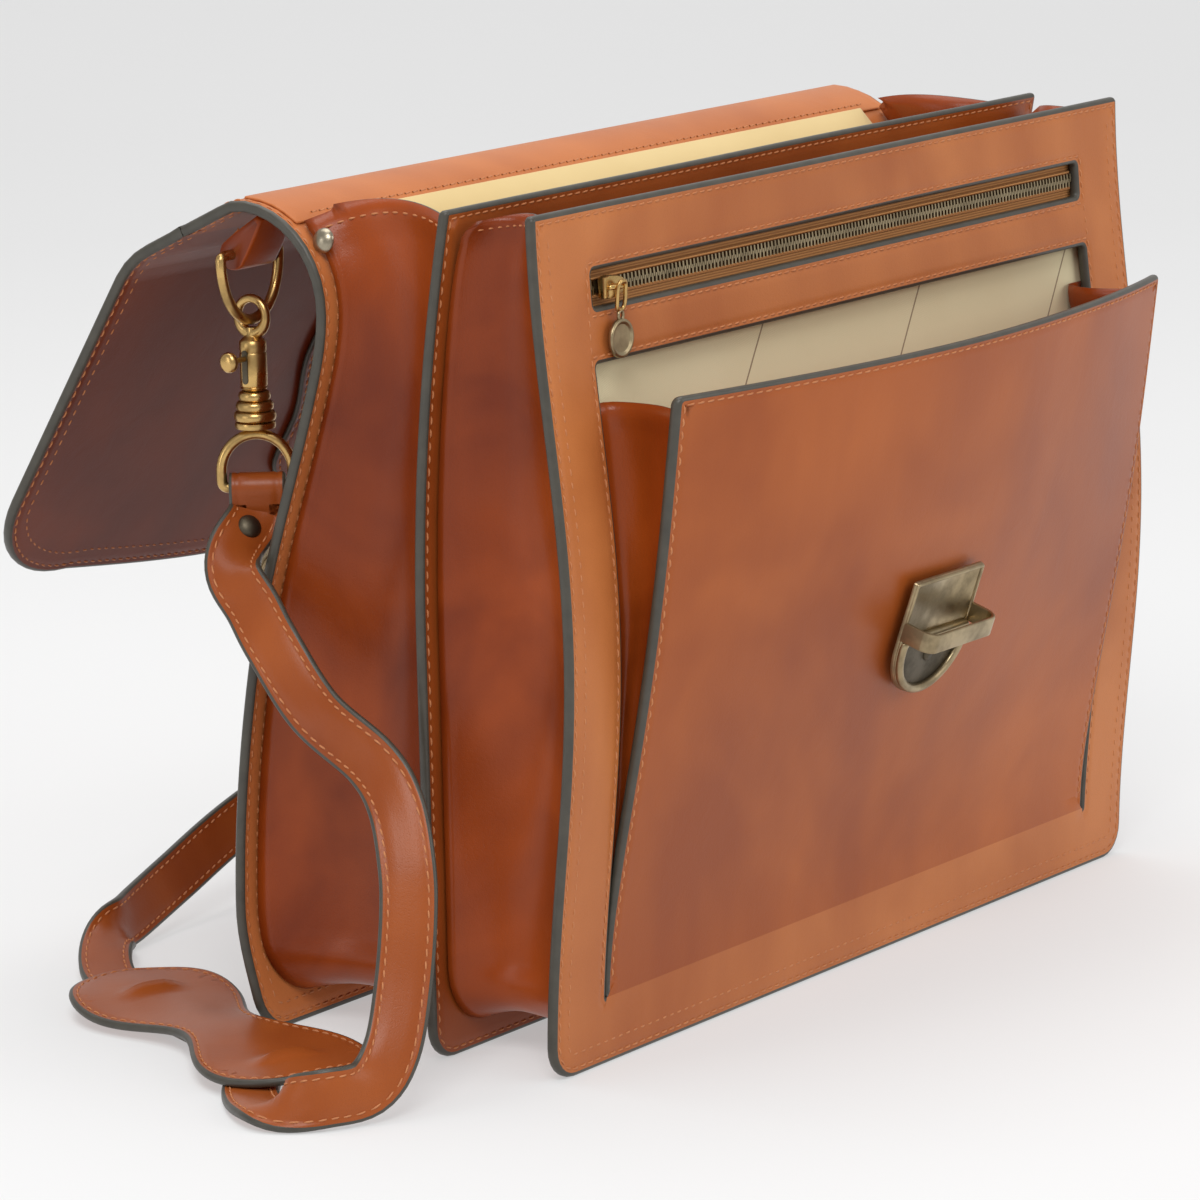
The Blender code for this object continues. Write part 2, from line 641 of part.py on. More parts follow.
half_lock = LOCK_WIDTH / 2
top_lock = LOCK_HEIGHT / 2
plate = flat_curve("lock_plate", [d_outline(half_lock, top_lock, -top_lock, -0.003)], LOCK_PLATE)
keep(bend(plate, lambda u, v, t: on_lock(u, v, t + LOCK_PLATE / 2)), BRASS)
inner = half_lock - LOCK_RIM
frame_top = KEEPER_Z - KEEPER_HEIGHT / 2 - GAP
rim_cut = [d_outline(half_lock, frame_top, -top_lock, -0.003),
           d_outline(inner, frame_top - LOCK_RIM / 2, -top_lock + LOCK_RIM, -0.003)]
rim = flat_curve("lock_frame", rim_cut, RIM_THICK)
keep(bend(rim, lambda u, v, t: on_lock(u, v, LOCK_PLATE + GAP + RIM_THICK / 2 + t)), BRASS)
keeper_rear = LOCK_PLATE + GAP


def staple(half, reach, radius):
    """Half the keeper's section: up one side, across and down the other, with two round corners."""
    return rounded([(-half, keeper_rear), (-half, keeper_rear + reach), (half, keeper_rear + reach),
                    (half, keeper_rear)], [0, radius, radius, 0])


outside = staple(half_lock, KEEPER_REACH, KEEPER_CORNER)
inside = staple(half_lock - KEEPER_WALL, KEEPER_REACH - KEEPER_WALL, KEEPER_CORNER - KEEPER_WALL)[::-1]
keeper = flat_curve("lock_keeper", [outside + inside], KEEPER_HEIGHT)
keep(bend(keeper, lambda u, v, t: on_lock(u, KEEPER_Z + t, v)), BRASS)


# ------------------------------------------------------------------ flap, thrown open behind the case
curl_end, curl_face = back_place(BACK_TOP)
top_run = Vector((math.cos(FLAP_TOP_SLOPE), -math.sin(FLAP_TOP_SLOPE)))
drop_run = Vector((math.cos(FLAP_DROP_SLOPE), -math.sin(FLAP_DROP_SLOPE)))
top_up = Vector((math.sin(FLAP_TOP_SLOPE), math.cos(FLAP_TOP_SLOPE)))
drop_up = Vector((math.sin(FLAP_DROP_SLOPE), math.cos(FLAP_DROP_SLOPE)))
flap_hinge = curl_end + top_up * HINGE_LIFT
fold_line = curl_end + top_run * FLAP_TOP


def on_plate(corner, run, up, lift):
    """Across, distance down the plate and height above it to a place on the case."""
    def place(u, v, t):
        spot = corner + run * v + up * (lift + t)
        return Vector((u, spot.x, spot.y))
    return place


def drop_outline(inset=0.0):
    """Half the drop's edge: a straight side, a round corner and a long shallow curve to the middle."""
    side = HALF - inset
    corner = [(side - FLAP_CORNER * (1 - math.cos(a)), FLAP_SIDE + (0.040 - inset) * math.sin(a))
              for a in [math.pi / 2 * n / 8 for n in range(9)]]
    last_u, last_v = corner[-1]
    sweep = [(last_u * (1 - n / 6), last_v + (FLAP_DROP - inset - last_v) * math.sin(math.pi / 2 * n / 6))
             for n in range(1, 7)]
    right = corner + sweep
    return [(HALF - inset, FOLD_GAP + inset)] + right + [(-u, v) for u, v in reversed(right[:-1])] + [
        (-HALF + inset, FOLD_GAP + inset)]


top = flat_curve("flap_top", [rectangle(-HALF, FOLD_GAP, HALF, FLAP_TOP - FOLD_GAP)], LEATHER)
keep(bend(top, on_plate(curl_end, top_run, top_up, 0)), TAN)
drop = flat_curve("flap_drop", [drop_outline()], LEATHER)
keep(bend(drop, on_plate(fold_line, drop_run, drop_up, 0), steps(0, FLAP_DROP, 0.04)), TAN)

drop_skin = -(LEATHER / 2 + GAP)
neck = [(TAB_HALF, 0.008), (TAB_HALF, 0.058), (TAB_HALF - 0.003, 0.066), (TAB_HALF - 0.008, 0.078),
        (TAB_HALF - 0.0105, 0.088), (TAB_NECK, 0.100), (TAB_NECK, 0.112)]
tab_angles = [math.pi / 2 * n / 6 for n in range(1, 7)]
tab_round = [(TAB_NECK * math.cos(a), 0.112 + 0.022 * math.sin(a)) for a in tab_angles]
tab_side = neck + tab_round
tab = flat_curve("flap_tab", [tab_side + [(-u, v) for u, v in reversed(tab_side[:-1])]], SOFT_LEATHER)
keep(bend(tab, on_plate(fold_line, drop_run, drop_up, drop_skin - SOFT_LEATHER / 2)), TAN_SOFT)

hasp_half = HASP_WIDTH / 2
hasp_top = FLAP_DROP - 0.024
hasp_cut = rectangle(-hasp_half, hasp_top, hasp_half, FLAP_DROP + HASP_REACH, 0.004, 0.008)
hasp = flat_curve("hasp_plate", [hasp_cut], HASP_PLATE)
keep(bend(hasp, on_plate(fold_line, drop_run, drop_up, drop_skin - HASP_PLATE / 2)), BRASS)
backing_cut = rectangle(-hasp_half, hasp_top, hasp_half, FLAP_DROP - 0.004, 0.004, 0.004)
backing = flat_curve("hasp_backing", [backing_cut], 0.0012)
keep(bend(backing, on_plate(fold_line, drop_run, drop_up, -drop_skin + 0.0006)), BRASS)
SMALL_DOME = [(r * 0.7, z * 0.7) for r, z in DOME]


def upright(spot, axis):
    """A matrix at a spot with local Z along the axis."""
    return Matrix.Translation(spot) @ Vector(axis).to_track_quat("Z", "Y").to_matrix().to_4x4()


down_face = Vector((0, -drop_up.x, -drop_up.y))
for side, name in ((-1, "left"), (1, "right")):
    spot = on_plate(fold_line, drop_run, drop_up, drop_skin - HASP_PLATE - GAP - 0.0003)(
        side * (hasp_half - 0.007), hasp_top + 0.007, 0)
    turned("hasp_rivet_" + name, SMALL_DOME, BRASS, upright(spot, down_face), 16)


# ------------------------------------------------------------------ carrying handle, hanging from the flap's top
def on_top(lift):
    return on_plate(curl_end, top_run, top_up, lift)


handle_at = 0.5 * FLAP_TOP
plate_under = -(LEATHER / 2 + GAP)
pin_lift = plate_under - LUG_PLATE - PIN_DROP
pivot = on_top(pin_lift)(0, handle_at, 0)


def handle_mount(side, name):
    """A brass plate riveted under the flap's top, with an ear that carries the handle's pin."""
    x = side * HANDLE_SPAN / 2
    home = rectangle(x - LUG_LONG / 2, handle_at - LUG_WIDE / 2, x + LUG_LONG / 2, handle_at + LUG_WIDE / 2,
                     0.003, 0.003)
    mount = flat_curve("handle_mount_" + name, [home], LUG_PLATE)
    keep(bend(mount, on_top(plate_under - LUG_PLATE / 2)), BRASS)
    reach = pin_lift - 0.0030
    ear = flat_curve("handle_ear_" + name, [rectangle(handle_at - 0.003, reach, handle_at + 0.003,
                                                      plate_under - LUG_PLATE / 2, 0.0025, 0.0)], LUG_EAR)
    bend(ear, lambda v, w, t: on_top(w)(x + side * 0.004 + t, v, 0))
    pin = wire("handle_pin_" + name, [on_top(pin_lift)(x + side * k, handle_at, 0) for k in (0.004, -0.007)],
               PIN_RADIUS, BRASS)
    add(add(mount, ear), pin)


ring_middle = pivot.z - (RING_EYE - EYE_WIRE - PIN_RADIUS - GAP)
ring_foot = ring_middle - RING_EYE
ring_x = HANDLE_SPAN / 2 - 0.002


def handle_ring(side, name):
    """The ring that joins the handle's leather to the pin."""
    turns = [math.tau * n / 16 for n in range(16)]
    loop = [(side * ring_x, pivot.y + RING_EYE * math.sin(a), ring_middle + RING_EYE * math.cos(a))
            for a in turns]
    wire("handle_ring_" + name, loop, EYE_WIRE, BRASS, closed=True)


def grip_line(s):
    """The handle's middle line, s from -1 to 1: across and up."""
    return Vector((s * ring_x, ring_foot - HANDLE_RISE * (1 - abs(s) ** 3)))


for side, name in ((-1, "left"), (1, "right")):
    handle_mount(side, name)
    handle_ring(side, name)
inner_edge, outer_edge = [], []
for n in range(21):
    s = -1 + n / 10
    run = (grip_line(s + 0.01) - grip_line(s - 0.01)).normalized()
    if 0 < n < 20:
        inner_edge.append(tuple(grip_line(s) + Vector((-run.y, run.x)) * HANDLE_STRIP))
        outer_edge.append(tuple(grip_line(s) - Vector((-run.y, run.x)) * HANDLE_STRIP))
caps = []
for end, first in ((1, -math.pi / 2), (-1, math.pi / 2)):
    run = (grip_line(1) - grip_line(0.99)).normalized()
    run.y *= end
    caps.append([tuple(grip_line(end) + Matrix.Rotation(first + math.pi * k / 8, 2) @ run * HANDLE_STRIP)
                 for k in range(9)])
eyes = [[tuple(grip_line(side) + Vector((math.cos(a), math.sin(a))) * HANDLE_HOLE)
         for a in [math.tau * n / 12 for n in range(12)]] for side in (-1, 1)]
strip = flat_curve("handle_grip", [outer_edge + caps[0] + inner_edge[::-1] + caps[1]] + eyes, HANDLE_FLAT)
keep(bend(strip, lambda x, z, t: Vector((x, pivot.y + t, z))), TAN)
core = [grip_line(-0.84 + 1.68 * n / 14) for n in range(15)]
roll = wire("handle_roll", [(x, pivot.y, z) for x, z in core], HANDLE_RADIUS, TAN)
add(strip, roll)


# ------------------------------------------------------------------ strap hardware, left and right
RING_Y = CURL_Y + RING_BEHIND


def both(make):
    for side, name in ((-1, "left"), (1, "right")):
        make(side, name)


def chape(side, name):
    """A strip of leather looped round the ring's bar, its tail sewn under the roll of the back panel."""
    bar = Vector((RING_Y, RING_Z))
    hole = RING_WIRE + CHAPE_SLACK
    outer = hole + 0.0030
    tail_end = Vector((CURL_Y - 0.005, CURL_START + CURL_RADIUS - LEATHER / 2 - 0.0024))
    away = (tail_end - bar).normalized()
    normal = Vector((-away.y, away.x))
    start = math.atan2(normal.y, normal.x)
    ring = [bar + outer * Vector((math.cos(start + math.pi * n / 10), math.sin(start + math.pi * n / 10)))
            for n in range(11)]
    tail = [tail_end - normal * 0.0014, tail_end + normal * 0.0014]
    cut = [tuple(bar + hole * Vector((math.cos(math.tau * n / 12), math.sin(math.tau * n / 12))))
           for n in range(12)]
    loop = flat_curve("chape_" + name, [[tuple(p) for p in ring + tail], cut], CHAPE_WIDTH)
    keep(bend(loop, lambda y, z, x: Vector((side * RING_X + x, y, z))), TAN_SOFT)


def d_ring(side, name):
    bow = [(RING_HALF * math.cos(a), -RING_DROP * math.sin(a) ** 0.9)
           for a in [math.pi * n / 14 for n in range(1, 14)]]
    points = [(RING_HALF, 0.0)] + bow + [(-RING_HALF, 0.0)]
    ring = [(side * RING_X + x, RING_Y, RING_Z + z) for x, z in points]
    wire("d_ring_" + name, ring, RING_WIRE, BRASS, closed=True)


def snap_hook(side, name):
    """An eye that snaps over the ring, on a neck that runs into a barrel and ends in the swivel's stem."""
    x = side * RING_X
    eye_z = HOOK_TOP - 0.0058
    barrel = turned("snap_hook_" + name, [
        (0.0, BARREL_TOP), (BARREL_RADIUS - 0.0006, BARREL_TOP), (BARREL_RADIUS, BARREL_TOP - 0.0006),
        (BARREL_RADIUS, BARREL_FOOT + 0.0006), (BARREL_RADIUS - 0.0006, BARREL_FOOT), (0.0, BARREL_FOOT)],
        BRASS, Matrix.Translation((x, RING_Y, 0)))
    loop = [(x, RING_Y + HOOK_EYE * math.sin(a), eye_z + HOOK_EYE * math.cos(a))
            for a in [math.tau * n / 20 for n in range(20)]]
    eye = wire("hook_eye_" + name, loop, HOOK_WIRE, BRASS, closed=True)
    stem = [(x, RING_Y, eye_z - HOOK_EYE), (x, RING_Y, BARREL_TOP - 0.003)]
    neck = wire("hook_neck_" + name, stem, 0.0021, BRASS)
    slot = block("trigger_slot_" + name, (0.02, 0.0026, 2 * TRIGGER_SLOT + 0.007),
                 Matrix.Translation((x - 0.01, RING_Y, TRIGGER_Z)), BRASS)
    add(add(add(barrel, neck), eye), slot, "DIFFERENCE")


def trigger(side, name):
    """The thumb knob on its stem, which slides down the slot to draw the hook's gate back."""
    x = side * RING_X
    turned("hook_trigger_" + name, [
        (0.0, 0.0155), (0.0018, 0.0155), (0.0034, 0.0145), (0.0036, 0.0130), (0.0028, 0.0120),
        (0.0010, 0.0118), (0.0010, 0.0018), (0.0, 0.0018)], BRASS,
        upright(Vector((x, RING_Y, TRIGGER_Z + 0.0030)), (-1, 0, 0)), 14)


def swivel(side, name):
    """Three turned beads over a flat foot, in which the hook turns."""
    profile = [(0.0, BARREL_FOOT - GAP)]
    bead = (BARREL_FOOT - GAP - SWIVEL_FOOT - 0.0025) / 3
    for n in range(3):
        top = BARREL_FOOT - GAP - n * bead
        for k in range(5):
            a = math.pi * k / 4
            profile.append((SWIVEL_RADIUS * 0.78 + 0.0012 * math.sin(a),
                            top - bead * (0.5 - 0.5 * math.cos(a)) * 0.96 - 0.00005))
    profile += [(SWIVEL_RADIUS, SWIVEL_FOOT + 0.0022), (SWIVEL_RADIUS, SWIVEL_FOOT), (0.0, SWIVEL_FOOT)]
    turned("hook_swivel_" + name, profile, BRASS, Matrix.Translation((side * RING_X, RING_Y, 0)))


def strap_ring(side, name):
    x = side * RING_X
    top = SWIVEL_FOOT - GAP - RING_WIRE
    foot = top - 0.0190
    points = [(STRAP_RING_HALF, foot), (STRAP_RING_HALF, foot + 0.006)]
    points += [(STRAP_RING_HALF * math.cos(a), foot + 0.006 + (top - foot - 0.006) * math.sin(a))
               for a in [math.pi * n / 10 for n in range(1, 10)]]
    points += [(-STRAP_RING_HALF, foot + 0.006), (-STRAP_RING_HALF, foot)]
    ring = [Vector((x, RING_Y, z)) + STRAP_RING_RUN * u for u, z in points]
    wire("strap_ring_" + name, ring, RING_WIRE, BRASS, closed=True)


for make in (chape, d_ring, snap_hook, trigger, swivel, strap_ring):
    both(make)


# ------------------------------------------------------------------ strap
def route(points, step):
    """Even points along a smooth curve through the route, with the turn at each."""
    places = [Vector(p) for p, _ in points]
    turns = [t for _, t in points]
    dense = []
    for n in range(len(places) - 1):
        a, b, c, d = (places[max(n - 1, 0)], places[n], places[n + 1], places[min(n + 2, len(places) - 1)])
        for k in range(12):
            s = k / 12
            spot = 0.5 * (2 * b + (c - a) * s + (2 * a - 5 * b + 4 * c - d) * s ** 2
                          + (3 * b - a - 3 * c + d) * s ** 3)
            dense.append((spot, turns[n] + (turns[n + 1] - turns[n]) * s))
    dense.append((places[-1], turns[-1]))
    length = sum((dense[n + 1][0] - dense[n][0]).length for n in range(len(dense) - 1))
    count = round(length / step)
    even, walked, n = [], 0.0, 0
    for k in range(count + 1):
        target = length * k / count
        while n < len(dense) - 2 and walked + (dense[n + 1][0] - dense[n][0]).length < target:
            walked += (dense[n + 1][0] - dense[n][0]).length
            n += 1
        share = (target - walked) / (dense[n + 1][0] - dense[n][0]).length
        even.append((dense[n][0].lerp(dense[n + 1][0], share),
                     dense[n][1] + (dense[n + 1][1] - dense[n][1]) * share))
    return even


def strap_run(name, points):
    """A flat strip whose broad side faces out to the front left where it stands, and up where it lies."""
    line = route(points, STRAP_STEP)
    spots = [spot for spot, _ in line]
    edges = []
    for n, (spot, turn) in enumerate(line):
        ahead = (spots[min(n + 1, len(spots) - 1)] - spots[max(n - 1, 0)]).normalized()
        facing = Vector((0, 0, 1)).lerp(STRAP_FACING, turn)
        across = ahead.cross(facing).normalized() * STRAP_WIDTH / 2
        edges.append(across)
    last = len(spots) - 1

    def place(a, b):
        n = min(round(b * last), last)
        return spots[n] + edges[n] * (2 * a - 1)
    sheet(name, place, 2, last, STRAP, TAN)
    out = edges[1].cross(spots[0] - spots[2]).normalized()
    return upright(spots[1] + out * (STRAP / 2 + 2 * GAP), out)


left_face = strap_run("strap_front_run", FRONT_ROUTE)
turned("strap_rivet_left", DOME, BRASS, left_face)
right_face = strap_run("strap_rear_run", REAR_ROUTE)
turned("strap_rivet_right", DOME, BRASS, right_face)

pad_side = []
for n in range(25):
    a = math.pi * n / 24
    along = -PAD_LENGTH / 2 * math.cos(a)
    spread = min(abs(along) / (0.30 * PAD_LENGTH), 1)
    swell = PAD_WAIST + (PAD_WIDE - PAD_WAIST) * math.sin(math.pi * spread / 2) ** 2
    end = math.sqrt(max(0.0, 1 - max(0.0, (abs(along) - 0.30 * PAD_LENGTH) / (0.20 * PAD_LENGTH)) ** 2))
    pad_side.append((along, swell * end))
pad_outline = pad_side + [(along, -half) for along, half in reversed(pad_side[1:-1])]
pad = flat_curve("shoulder_pad", [pad_outline], PAD_THICK)
pad_home = Matrix.Translation((*PAD_MIDDLE, PAD_FLOOR + PAD_THICK / 2))
pad_frame = pad_home @ Matrix.Rotation(PAD_TURN, 4, "Z")
keep(bend(pad, lambda u, v, t: pad_frame @ Vector((u, v, t))), TAN)
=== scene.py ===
"""A cognac leather briefcase, standing open with its flap thrown back and its strap on the floor.

Metres, +Z up, X across the case, the front towards -Y, the origin in the middle of the divider's foot.
"""
import math

import bmesh
import bpy
import numpy as np
from mathutils import Matrix, Vector, geometry, noise


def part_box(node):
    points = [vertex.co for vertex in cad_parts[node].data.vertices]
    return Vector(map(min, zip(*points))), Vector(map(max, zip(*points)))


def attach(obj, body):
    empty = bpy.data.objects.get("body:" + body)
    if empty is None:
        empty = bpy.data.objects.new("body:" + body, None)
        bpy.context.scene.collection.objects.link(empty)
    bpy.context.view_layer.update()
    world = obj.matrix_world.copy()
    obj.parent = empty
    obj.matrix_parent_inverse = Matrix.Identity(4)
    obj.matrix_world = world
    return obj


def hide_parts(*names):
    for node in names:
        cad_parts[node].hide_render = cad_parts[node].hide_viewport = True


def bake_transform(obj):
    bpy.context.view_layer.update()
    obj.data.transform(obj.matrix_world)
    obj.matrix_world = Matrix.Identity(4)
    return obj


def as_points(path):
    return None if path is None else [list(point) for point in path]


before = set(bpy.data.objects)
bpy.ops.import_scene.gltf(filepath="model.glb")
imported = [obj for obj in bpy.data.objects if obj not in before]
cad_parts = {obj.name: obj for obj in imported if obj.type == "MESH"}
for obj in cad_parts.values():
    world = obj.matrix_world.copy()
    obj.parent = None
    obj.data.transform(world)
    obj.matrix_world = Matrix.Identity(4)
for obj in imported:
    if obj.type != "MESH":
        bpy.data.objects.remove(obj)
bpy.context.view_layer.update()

# ---- the camera
# A long lens, a little above the case and off its front left corner.
camera = bpy.data.objects.new("camera", bpy.data.cameras.new("camera"))
camera.data.lens = 174
camera.data.sensor_width = 36
camera.data.clip_end = 50
yaw, pitch, roll = math.radians(54.58), math.radians(11.37), math.radians(-1.32)
ahead = Vector((math.sin(yaw) * math.cos(pitch), math.cos(yaw) * math.cos(pitch), -math.sin(pitch)))
level = Vector((math.cos(yaw), -math.sin(yaw), 0))
above = level.cross(ahead)
right = level * math.cos(roll) + above * math.sin(roll)
up = above * math.cos(roll) - level * math.sin(roll)
stand = Matrix.Translation((-1.7464, -1.1819, 0.5557))
camera.matrix_world = stand @ Matrix((right, up, -ahead)).transposed().to_4x4()
bpy.context.scene.collection.objects.link(camera)
bpy.context.scene.camera = camera


# ---- hides
# Smooth vegetable-tanned cowhide, waxed and rubbed, with fine pores and clouds of darker dye.
def node_group(name, inputs, outputs):
    """An empty node group with float or colour sockets, and its two end nodes."""
    group = bpy.data.node_groups.new(name, "ShaderNodeTree")
    for label, kind, value in inputs:
        socket = group.interface.new_socket(label, in_out="INPUT", socket_type=kind)
        socket.default_value = value
    for label, kind in outputs:
        group.interface.new_socket(label, in_out="OUTPUT", socket_type=kind)
    return group, group.nodes.new("NodeGroupInput"), group.nodes.new("NodeGroupOutput")


def put(tree, kind, links=(), **values):
    """Add a node, set its properties or input sockets by name, and link named inputs to other sockets."""
    node = tree.nodes.new("ShaderNode" + kind)
    for label, value in values.items():
        if hasattr(node, label):
            setattr(node, label, value)
        else:
            node.inputs[label.replace("_", " ")].default_value = value
    for label, socket in links:
        tree.links.new(socket, node.inputs[label])
    return node


def blend_colour(tree, factor, a, b, how="MIX"):
    """Mix two colours, given as sockets or as RGBA, and return the result's socket."""
    node = tree.nodes.new("ShaderNodeMix")
    node.data_type = "RGBA"
    node.blend_type = how
    for index, value in ((0, factor), (6, a), (7, b)):
        if isinstance(value, (tuple, float, int)):
            node.inputs[index].default_value = value
        else:
            tree.links.new(value, node.inputs[index])
    return node.outputs[2]


def math_node(tree, operation, *values):
    node = tree.nodes.new("ShaderNodeMath")
    node.operation = operation
    for index, value in enumerate(values):
        if isinstance(value, (float, int)):
            node.inputs[index].default_value = value
        else:
            tree.links.new(value, node.inputs[index])
    return node.outputs[0]


def make_hide_group():
    """Clouded dye, streaks where the hide was rubbed, pores and fine creases."""
    colour, number = "NodeSocketColor", "NodeSocketFloat"
    group, start, end = node_group("waxed hide", [
        ("Light", colour, (0.5, 0.16, 0.05, 1)), ("Dark", colour, (0.3, 0.06, 0.015, 1)),
        ("Cloud scale", number, 9.0), ("Gloss", number, 0.36)],
        [("Colour", colour), ("Roughness", number), ("Height", number)])
    place = group.nodes.new("ShaderNodeTexCoord").outputs["Object"]
    cloud = put(group, "TexNoise", [("Vector", place), ("Scale", start.outputs["Cloud scale"])], Detail=3.0,
                Roughness=0.55, Distortion=0.6)
    streak_place = put(group, "Mapping", [("Vector", place)], Scale=(26.0, 26.0, 5.0))
    streak = put(group, "TexNoise", [("Vector", streak_place.outputs[0])], Scale=1.0, Detail=4.0)
    mixed = math_node(group, "ADD", math_node(group, "MULTIPLY", cloud.outputs[0], 0.72),
                      math_node(group, "MULTIPLY", streak.outputs[0], 0.28))
    spread = put(group, "MapRange", [("Value", mixed)], **{"From Min": 0.36, "From Max": 0.64})
    colour_out = blend_colour(group, spread.outputs[0], start.outputs["Dark"], start.outputs["Light"])
    pores = put(group, "TexVoronoi", [("Vector", place)], Scale=1500.0)
    pore_mask = put(group, "MapRange", [("Value", pores.outputs["Distance"])],
                    **{"From Min": 0.0, "From Max": 0.45})
    fine = put(group, "TexNoise", [("Vector", place)], Scale=900.0, Detail=3.0)
    creases = put(group, "TexNoise", [("Vector", place)], Scale=70.0, Detail=5.0, Distortion=1.2)
    colour_out = blend_colour(group, math_node(group, "MULTIPLY_ADD", pore_mask.outputs[0], -0.10, 0.10),
                              colour_out, (0.10, 0.03, 0.01, 1))
    height = math_node(group, "ADD", math_node(group, "MULTIPLY", pore_mask.outputs[0], 0.45),
                       math_node(group, "MULTIPLY", fine.outputs[0], 0.55))
    height = math_node(group, "ADD", height, math_node(group, "MULTIPLY", creases.outputs[0], 1.6))
    rough = math_node(group, "ADD", start.outputs["Gloss"],
                      math_node(group, "MULTIPLY_ADD", streak.outputs[0], 0.16, -0.08))
    group.links.new(colour_out, end.inputs["Colour"])
    group.links.new(rough, end.inputs["Roughness"])
    group.links.new(height, end.inputs["Height"])
    return group


HIDE = make_hide_group()


def surface(name):
    """A new material and its tree, its shader, and nothing else yet."""
    material = bpy.data.materials.new(name)
    material.use_nodes = True
    tree = material.node_tree
    return material, tree, tree.nodes["Principled BSDF"]


def hide(name, light, dark, gloss, bump=0.16, cloud=9.0):
    material, tree, shader = surface(name)
    use = tree.nodes.new("ShaderNodeGroup")
    use.node_tree = HIDE
    use.inputs["Light"].default_value = (*light, 1)
    use.inputs["Dark"].default_value = (*dark, 1)
    use.inputs["Gloss"].default_value = gloss
    use.inputs["Cloud scale"].default_value = cloud
    tree.links.new(use.outputs["Colour"], shader.inputs["Base Color"])
    tree.links.new(use.outputs["Roughness"], shader.inputs["Roughness"])
    relief = put(tree, "Bump", [("Height", use.outputs["Height"])], Strength=bump, Distance=0.0004)
    tree.links.new(relief.outputs[0], shader.inputs["Normal"])
    shader.inputs["Coat Weight"].default_value = 0.06
    shader.inputs["Coat Roughness"].default_value = 0.25
    shader.inputs["Specular IOR Level"].default_value = 0.26
    shader.inputs["Coat IOR"].default_value = 1.45
    return material


GRAIN = hide("waxed tan hide", (0.370, 0.088, 0.016), (0.230, 0.044, 0.007), 0.34)
FRONT_GRAIN = hide("rubbed tan hide", (0.430, 0.110, 0.020), (0.285, 0.060, 0.010), 0.38)
# The soft hide of the gussets, the pocket's slips and the chapes: its own tone, darkened further as painted
# shade for these places deep in the case and under the roll.
SHADED_SOFT_GRAIN = hide("soft tan hide with painted shade", (0.340, 0.060, 0.007), (0.170, 0.024, 0.003), 0.30, 0.22, 14.0)
# A lighter copy of the case's hide, painted light, for the front panel's face.
PAINTED_LIGHT_GRAIN = hide("lit tan hide", (0.540, 0.180, 0.050), (0.370, 0.098, 0.022), 0.40)
INNER_GRAIN = hide("flesh-side tan hide", (0.600, 0.200, 0.060), (0.460, 0.135, 0.036), 0.44)
# A darker copy of the case's hide, painted shade: the flap's grain face turned towards the case's back, the
# tab on it and the chapes' ends.
DARK_SHADE_GRAIN = hide("tan hide darkened as painted shade", (0.230, 0.042, 0.010), (0.140, 0.022, 0.006), 0.32)


def edge_paint():
    """Grey-brown edge paint over the two bonded hides."""
    material, tree, shader = surface("painted hide edge")
    place = tree.nodes.new("ShaderNodeTexCoord").outputs["Object"]
    cloud = put(tree, "TexNoise", [("Vector", place)], Scale=160.0, Detail=4.0)
    tint = blend_colour(tree, cloud.outputs[0], (0.034, 0.031, 0.024, 1), (0.078, 0.070, 0.053, 1))
    tree.links.new(tint, shader.inputs["Base Color"])
    relief = put(tree, "Bump", [("Height", cloud.outputs[0])], Strength=0.25, Distance=0.0003)
    tree.links.new(relief.outputs[0], shader.inputs["Normal"])
    shader.inputs["Roughness"].default_value = 0.42
    return material


EDGE = edge_paint()


def thread_finish():
    """Waxed polyester thread, a little lighter than the hide, with its twist."""
    material, tree, shader = surface("orange thread")
    place = tree.nodes.new("ShaderNodeTexCoord").outputs["Object"]
    tone = put(tree, "TexNoise", [("Vector", place)], Scale=420.0, Detail=2.0)
    tint = blend_colour(tree, tone.outputs[0], (0.400, 0.120, 0.036, 1), (0.600, 0.240, 0.090, 1))
    tree.links.new(tint, shader.inputs["Base Color"])
    relief = put(tree, "Bump", [("Height", tone.outputs[0])], Strength=0.5, Distance=0.0002)
    tree.links.new(relief.outputs[0], shader.inputs["Normal"])
    shader.inputs["Roughness"].default_value = 0.55
    return material


THREAD = thread_finish()


def shown(name, points, faces, materials, indices=None, flat=None):
    """A smooth mesh object of the points and faces; flat holds each point's place on the uncut hide."""
    mesh = bpy.data.meshes.new(name)
    mesh.from_pydata([tuple(p) for p in points], [], [tuple(int(k) for k in f) for f in faces])
    for material in materials:
        mesh.materials.append(material)
    if indices is not None:
        mesh.polygons.foreach_set("material_index", indices)
    if flat is not None:
        layer = mesh.uv_layers.new(name="cut")
        corners = np.empty(len(mesh.loops), int)
        mesh.loops.foreach_get("vertex_index", corners)
        layer.data.foreach_set("uv", np.array(flat, float)[corners].ravel())
    mesh.shade_smooth()
    mesh.validate()
    piece = bpy.data.objects.new(name, mesh)
    bpy.context.scene.collection.objects.link(piece)
    return piece


def crossing(a, run_a, b, run_b):
    """Where two lines, each a place and a direction, cross."""
    turn = run_a[0] * run_b[1] - run_a[1] * run_b[0]
    if abs(turn) < 1e-12:
        return (a + b) / 2
    share = ((b[0] - a[0]) * run_b[1] - (b[1] - a[1]) * run_b[0]) / turn
    return a + share * run_a


